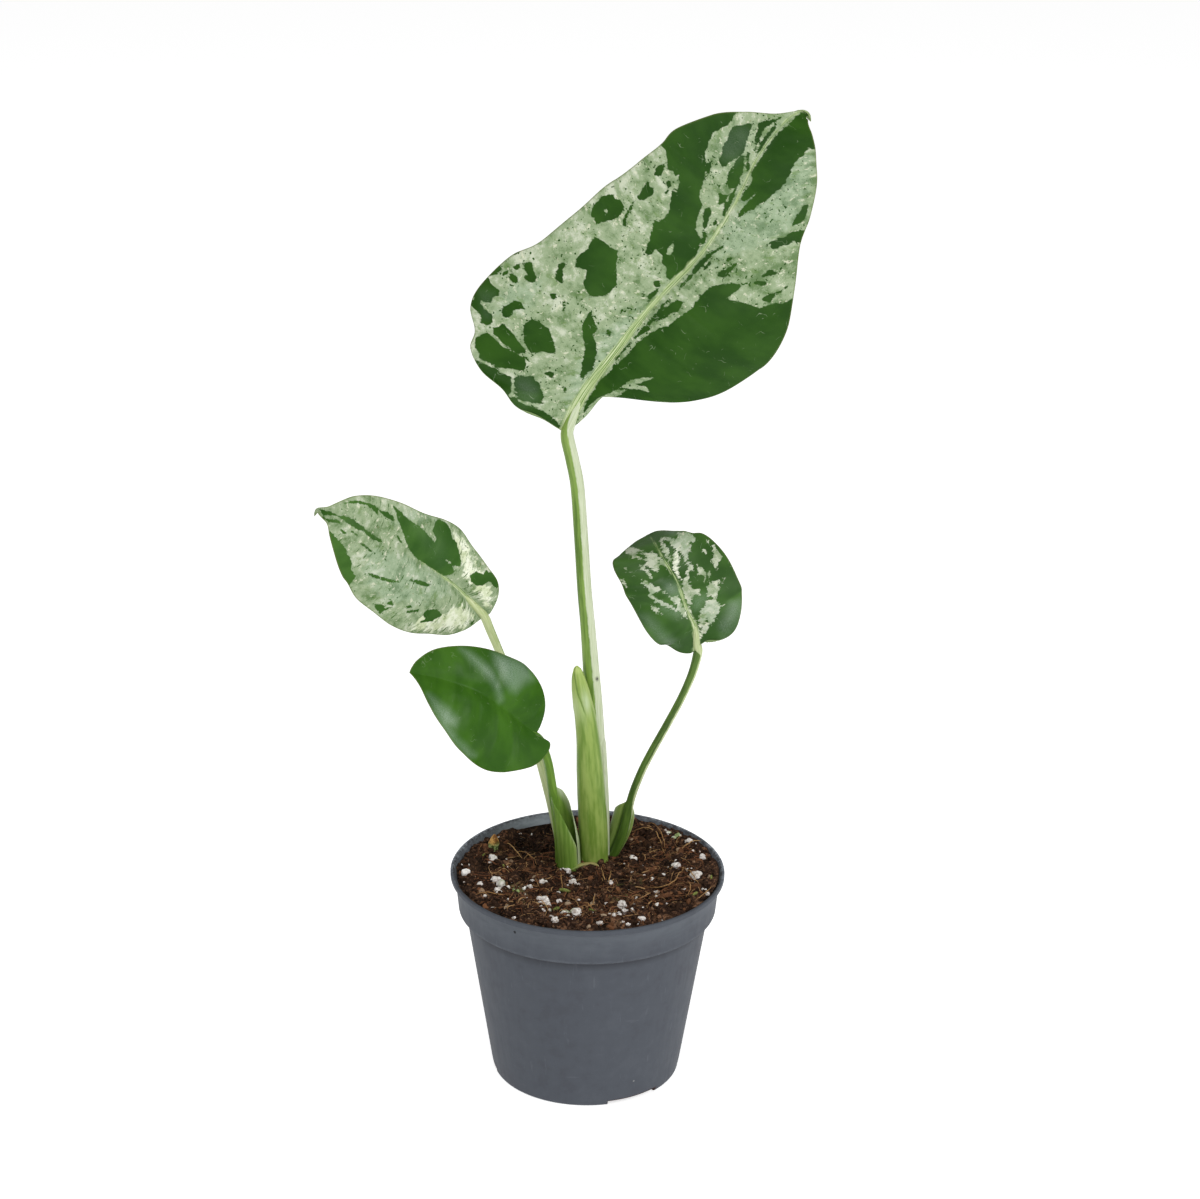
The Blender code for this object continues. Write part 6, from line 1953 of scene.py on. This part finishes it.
FRONT_GLOSS = (
    (15,48.5, 15,44.5, 13,39.5, 11.5,36, 9.5,32.5, 6,28.5, 2,24.5, 1,25, 4,29, 7,33.5, 8.5,37.5, 11,42,
     13,45),
    (18.5,35.5, 20,30, 22,23, 21,17.5, 18.5,15, 14,18, 8.5,20.5, 7.5,23.5, 10,29.5, 14,33.5),
    (-8.5,58, -11,53, -13.5,47, -16,43.5, -19,43.5, -20,46.5, -24,40.5, -26,29.5, -25.5,25, -28,30, -25,43,
     -20.5,49.5, -14.5,54.5),
)
RIGHT_GLOSS = (
    (-5.5,33.5, -2.5,32, -0.5,29, -0.5,25.5, -2,24.5, -5,25.5, -6.5,28.5),
    (4.5,22.5, 10,21, 10,19, 7.5,17.5, 4.5,15.5, 3,16, 3,19),
    (18.5,13, 23,10, 21,7.5, 18.5,6, 14,4.5, 11,4.5, 10.5,6, 14,8),
    (-20,21.5, -16.5,20.5, -13.5,16.5, -12,11, -8.5,1.5, -12,1.5, -16.5,11, -18.5,16.5),
    (-9,23, -4,19, -3,16.5, -6,16.5, -9,19, -11,21),
    (7.5,58, 10,55, 10.5,50.5, 8,51.5),
)
LEFT_GLOSS = (
    (2,30, 6,44, 12,56, 18,50, 16,40, 8,30),
    (18,70, 22,60, 22,44, 26,50, 22,72),
)
kinds = ("green", "pale", "silver", "cream", "gloss", "back")
BLOTCHES = {
    "tall_leaf": (TALL_LEFT + TALL_RIGHT, TALL_HOLES, TALL_SILVER, (), TALL_GLOSS, ()),
    "left_leaf": (LEFT_LEAF_GREEN, LEFT_LEAF_HOLES, LEFT_SILVER, LEFT_CREAM, LEFT_GLOSS, ()),
    "front_leaf": (WHOLE, (), (), (), FRONT_GLOSS, ()),
    "right_leaf": (WHOLE, RIGHT_LEAF_PALE, RIGHT_SILVER, RIGHT_CREAM, RIGHT_GLOSS, RIGHT_LEAF_HOLES),
}
print(len(LEFT_LEAF_GREEN), "green patches on the left leaf,", len(RIGHT_LEAF_PALE), "pale on the right")

# %% [markdown]
# ## The leaves' finish
#
# Pale tissue isn't white. Under its clear skin lie cells with a little green left,
# so it is a mottle of grey-green, cooler where air lies under the skin and creamy
# where no green is left at all, with dark dots and streaks that follow the veins.
# Green tissue is deep, even and glossy, and the underside paler and more matt.
# Four leaves use the same tissue, so it is one group; its amounts of silver, cream, streaks, dots and
# brightness are inputs, and its tones are fixed inside.
# %% Pale tissue
def tissue_group():
    """Pale leaf tissue: three tones, clouds of green below the skin, dots and streaks."""
    group, given, result = shader_group(
        "pale_tissue", {"Place": 'Vector', "Vein": 'Vector', "Silver": 0.0, "Cream": 0.0, "Streaks": 0.5,
                        "Dots": 0.5, "Bright": 0.0}, {"Color": 'Color', "Green": 'Float'})
    place, vein = given["Place"], given["Vein"]
    broad = cloud(group, vein, (0.16, 0.10, 1.0), 2.0, 0.6)
    middle = cloud(group, place, (0.34, 0.34, 1.0), 3.0, 0.6, (2.0, 8.0, 0.0))
    fine = cloud(group, place, (1.9, 1.9, 1.0), 2.0, 0.7)
    grain = times_plus(group, broad, 0.50, given["Bright"])
    grain = times_plus(group, middle, 0.32, times_plus(group, fine, 0.18, grain))
    base = tinted(group, grain, 0.36, 0.50, chip(96, 122, 78), chip(145, 162, 127))
    base = tinted(group, grain, 0.50, 0.62, base, chip(190, 197, 174))
    cool = tinted(group, grain, 0.36, 0.50, chip(108, 132, 98), chip(148, 167, 136))
    cool = tinted(group, grain, 0.50, 0.62, cool, chip(186, 194, 174))
    warm = tinted(group, grain, 0.32, 0.43, chip(146, 166, 112), chip(202, 211, 175))
    warm = tinted(group, grain, 0.43, 0.53, warm, chip(230, 234, 213))
    torn = calc(group, 'SUBTRACT', cloud(group, vein, (0.45, 0.14, 1.0), 4.0, 0.7), 0.5)
    silver = soft_step(group, times_plus(group, torn, 16.0, given["Silver"]), 1.5, -2.5)
    colour = veil(group, silver, 0.85, base, cool)
    cream = soft_step(group, times_plus(group, torn, 14.0, given["Cream"]), 0.8, -1.2)
    colour = blend(group, cream, colour, warm)
    below = cloud(group, vein, (0.30, 0.14, 1.0), 4.0, 0.7, (3.0, 9.0, 0.0))
    colour = tinted(group, below, 0.56, 0.66, colour, chip(98, 128, 68), 0.6)
    light = cloud(group, vein, (0.50, 0.28, 1.0), 3.0, 0.7, (7.0, 0.0, 0.0))
    colour = tinted(group, light, 0.58, 0.66, colour, chip(206, 208, 182), 0.75)
    brown = cloud(group, place, (0.8, 0.8, 1.0), 2.0, shift=(9.0, 1.0, 0.0))
    colour = tinted(group, brown, 0.66, 0.74, colour, chip(126, 118, 78), 0.5)

    thin = cloud(group, vein, (1.25, 0.13, 1.0), 3.0, 0.65, (0.0, 4.0, 0.0))
    streak = soft_step(group, times_plus(group, given["Streaks"], 0.14, thin), 0.78, 0.80)
    crowd = cloud(group, place, (0.10, 0.10, 1.0), 2.0, shift=(5.0, 0.0, 0.0))
    crowd = times_plus(group, cloud(group, place, (0.03, 0.03, 1.0)), 0.4, crowd)
    spot = cloud(group, place, (0.80, 0.80, 1.0), 1.0, 0.5, (2.0, 5.0, 0.0))
    crowded = times_plus(group, crowd, 0.45, spot)
    dots = soft_step(group, times_plus(group, given["Dots"], 0.10, crowded), 1.085, 1.105)
    group.links.new(colour, result["Color"])
    group.links.new(calc(group, 'MAXIMUM', streak, dots), result["Green"])
    return group


tissue = tissue_group()
print("pale tissue group has", len(tissue.nodes), "nodes")

# %% Leaf finish
def leaf_finish(name, deep, rich, streaks, dots, bright, lean, marks, roughness, specular, wax, fray,
                jagged, bloom):
    """Green and pale tissue, and the midrib; streaks and dots break up the pale, and a painted sheen
    lightens the gloss patches.
    """
    mat, tree, shader = new_material(name, roughness, specular)
    shader.inputs["Coat Roughness"].default_value = 0.32
    place = attribute(tree, "place", "Vector")
    vein = attribute(tree, "vein", "Vector")
    under = attribute(tree, "under")
    sides = add(tree, 'ShaderNodeSeparateXYZ', {0: place}).outputs["X"]
    brightness = times_plus(tree, sides, lean, bright)
    pale = use(tree, tissue, {"Place": place, "Vein": vein, "Silver": attribute(tree, "silver"),
                              "Cream": attribute(tree, "cream"), "Streaks": streaks, "Dots": dots,
                              "Bright": brightness})
    depth = cloud(tree, vein, (0.07, 0.035, 1.0), 3.0, 0.55)
    green = tinted(tree, depth, 0.36, 0.66, deep, rich)
    spots = cloud(tree, place, (1.3, 1.3, 1.0), 2.0)
    green = tinted(tree, spots, 0.64, 0.80, green, chip(84, 124, 52), 0.16)

    patch = use(tree, frayed, {"Distance": attribute(tree, "green"), "Fray": fray, "Soft": 0.20,
                               "Vector": stretched(tree, vein, (jagged, jagged, 1.0))})
    broken = calc(tree, 'MAXIMUM', patch["Mask"], pale["Green"])
    both = blend(tree, broken, pale["Color"], green)

    thread = threads(tree, place, 0.34, 24.0)
    cream = tinted(tree, thread, 0.40, 0.50, chip(84, 120, 44), chip(158, 178, 120))
    cream = tinted(tree, thread, 0.50, 0.58, cream, chip(196, 206, 166))
    band = use(tree, frayed, {"Distance": attribute(tree, "rib"), "Vector": place, "Fray": 2.4,
                              "Soft": 0.7})["Mask"]
    ribbed = blend(tree, band, both, cream)
    rim = soft_step(tree, attribute(tree, "inset"), 0.1, 0.6, 0.6, 0.0)
    edged = blend(tree, rim, ribbed, chip(104, 118, 60))
    turned = veil(tree, under, 0.55, edged, chip(150, 170, 118))
    white = specks(tree, place, 0.30, 0.16, 0.07)
    wander = cloud(tree, place, (0.11, 0.11, 1.0), 2.0, shift=(4.0, 2.0, 0.0))
    curve = calc(tree, 'ABSOLUTE', calc(tree, 'SUBTRACT', wander, 0.52))
    where = cloud(tree, place, (0.22, 0.22, 1.0), 2.0, shift=(1.0, 6.0, 0.0))
    scratch = soft_step(tree, curve, 0.0015, 0.0045, 0.65, 0.0)
    scratch = times(tree, scratch, soft_step(tree, where, 0.56, 0.62))
    worn = times(tree, calc(tree, 'MAXIMUM', white, scratch), marks)
    scuffed = blend(tree, worn, turned, chip(190, 206, 172))
    # painted sheen: a lighter, cooler green laid over the gloss patches
    sheen_noise = cloud(tree, place, (2.4, 2.4, 1.0), 3.0, 0.8, (6.0, 6.0, 0.0))
    glossy = soft_step(tree, attribute(tree, "gloss"), 3.0, -4.0)
    sheen_mask = times(tree, glossy, soft_step(tree, sheen_noise, 0.40, 0.60, 0.30 * bloom, bloom))
    final = blend(tree, sheen_mask, scuffed, chip(168, 190, 172))

    sheen = cloud(tree, vein, (0.28, 0.10, 1.0), 3.0, 0.6)
    rough = soft_step(tree, sheen, 0.3, 0.7, roughness - 0.05, roughness + 0.10)
    rough = times_plus(tree, under, 0.2, rough)
    waxed = times(tree, glossy, soft_step(tree, sheen, 0.36, 0.56, 0.45 * wax, wax))
    coat = times(tree, waxed, calc(tree, 'SUBTRACT', 1.0, under))
    tree.links.new(coat, shader.inputs["Coat Weight"])
    skin = cloud(tree, place, (2.6, 2.6, 1.0), 3.0, 0.6)
    height = times_plus(tree, calc(tree, 'ADD', patch["Mask"], band), 0.25, skin)
    dress(tree, shader, final, rough, height, 0.00012, 0.35)
    return mat


# deep and rich green; streaks, dots, bright, lean, marks, roughness, specular, wax, fray, jagged, bloom
leaf_skins = {
    "tall_leaf": leaf_finish("marbled_leaf", chip(30, 64, 10), chip(44, 80, 18),
                             0.30, 0.95, -0.029, -0.0008, 0.45, 0.40, 0.12, 0.35, 2.1, 1.0, 0.07),
    "left_leaf": leaf_finish("marbled_small_leaf", chip(42, 80, 20), chip(64, 102, 38),
                             1.1, 0.45, -0.022, 0.0, 0.2, 0.40, 0.12, 0.10, 1.7, 1.3, 0.03),
    "right_leaf": leaf_finish("silvered_leaf", chip(44, 78, 26), chip(66, 104, 40),
                              0.6, 0.3, 0.062, 0.0, 0.5, 0.36, 0.20, 0.9, 4.0, 1.8, 0.24),
    "front_leaf": leaf_finish("glossy_green_leaf", chip(42, 82, 12), chip(60, 103, 22),
                              0.0, 0.0, 0.0, 0.0, 0.25, 0.34, 0.12, 0.55, 2.1, 1.0, 0.44),
}
print("leaf finishes:", {name: len(mat.node_tree.nodes) for name, mat in leaf_skins.items()})

# %% The four blades
for name, slot in (("tall_leaf", "variegated_leaf"), ("left_leaf", "variegated_leaf"),
                   ("right_leaf", "variegated_leaf"), ("front_leaf", "green_leaf")):
    make_blade(name, leaf_skins[name], dict(zip(kinds, BLOTCHES[name])), slot)

# %% [markdown]
# ## Light, floor and camera
#
# The plant stands on white in soft, even studio light. A white sky lights it from
# all sides, and three large lamps in front add a little form and the sheen on the
# leaves. The camera stands a little above the plant and looks down at it.
# %% Floor and light
FLOOR_REACH = 6.0             # metres
FLOOR_WHITE, FLOOR_GLOW = 0.90, 0.60
SKY_LIGHT = 0.36              # strength as a light; the sky that is seen behind the floor has 1
LAMPS = {                     # place, height aimed at, size in metres, watts
    "key_lamp": ((-0.8, -0.5, 1.7), 0.2, 0.7, 9.0),
    "fill_lamp": ((1.3, -0.85, 1.15), 0.25, 0.8, 12.0),
    "front_lamp": ((0.44, -1.9, 1.36), 0.3, 1.2, 10.0),
}


def make_floor():
    """A white floor that glows a little, so that it stays even; it isn't part of the plant."""
    mesh = bpy.data.meshes.new("floor")
    corners = [(x * FLOOR_REACH, y * FLOOR_REACH, 0) for x, y in ((-1, -1), (1, -1), (1, 1), (-1, 1))]
    mesh.from_pydata(corners, [], [(0, 1, 2, 3)])
    obj = new_object("floor", mesh)
    mat, _, shader = new_material("white_floor", 0.9, 0.0)
    shader.inputs["Base Color"].default_value = (FLOOR_WHITE, FLOOR_WHITE, FLOOR_WHITE, 1.0)
    shader.inputs["Emission Color"].default_value = (1.0, 1.0, 1.0, 1.0)
    shader.inputs["Emission Strength"].default_value = FLOOR_GLOW
    mesh.materials.append(mat)
    obj.location.z = -0.0002
    obj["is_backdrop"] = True


def add_lamp(name, place, target, size, power):
    """A square lamp that faces its target."""
    lamp = bpy.data.lights.new(name, 'AREA')
    lamp.size, lamp.energy = size, power
    obj = new_object(name, lamp)
    obj.location = place
    obj.rotation_euler = (Vector(target) - Vector(place)).to_track_quat('-Z', 'Y').to_euler()


make_floor()
world = bpy.data.worlds.new("white_sky")
bpy.context.scene.world = world
world.use_nodes = True
sky = world.node_tree.nodes["Background"]
sky.inputs["Color"].default_value = (1.0, 1.0, 1.0, 1.0)
seen = add(world.node_tree, 'ShaderNodeLightPath').outputs["Is Camera Ray"]
glow = times_plus(world.node_tree, seen, 1 - SKY_LIGHT, SKY_LIGHT)
world.node_tree.links.new(glow, sky.inputs["Strength"])
for name, (place, aim, size, power) in LAMPS.items():
    add_lamp(name, place, (0, 0, aim), size, power)
bpy.context.scene.view_settings.view_transform = "Standard"
print("lamps:", [lamp.name for lamp in bpy.data.lights])

# %% Camera
def make_camera(place, pitch, roll, lens):
    """A camera that looks along +Y and down by pitch, turned by roll about its own axis."""
    tilt, lean = math.radians(pitch), math.radians(roll)
    right, up = Vector((1, 0, 0)), Vector((0, math.sin(tilt), math.cos(tilt)))
    back = Vector((0, -math.cos(tilt), math.sin(tilt)))
    leaned_right = right * math.cos(lean) + up * math.sin(lean)
    leaned_up = up * math.cos(lean) - right * math.sin(lean)
    camera = bpy.data.cameras.new("camera")
    camera.lens, camera.sensor_width = lens, 36.0
    obj = new_object("camera", camera)
    obj.location = place
    obj.rotation_euler = Matrix((leaned_right, leaned_up, back)).transposed().to_euler()
    bpy.context.scene.camera = obj
    return obj


CAMERA_PLACE = (0.0041, -1.300, 0.741)       # metres
CAMERA_PITCH, CAMERA_ROLL = 21.77, 0.66      # degrees
CAMERA_LENS = 99.15                          # millimetres
camera = make_camera(CAMERA_PLACE, CAMERA_PITCH, CAMERA_ROLL, CAMERA_LENS)
print("camera", round(camera.data.angle * 180 / math.pi, 1), "degrees wide")

# %% Sizes
visual_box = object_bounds()
for axis in range(3):
    grown = [round((visual_box[i][axis] - cad_box[i][axis]) / MM, 1) for i in (0, 1)]
    print("XYZ"[axis], "low and high moved by", grown, "mm")
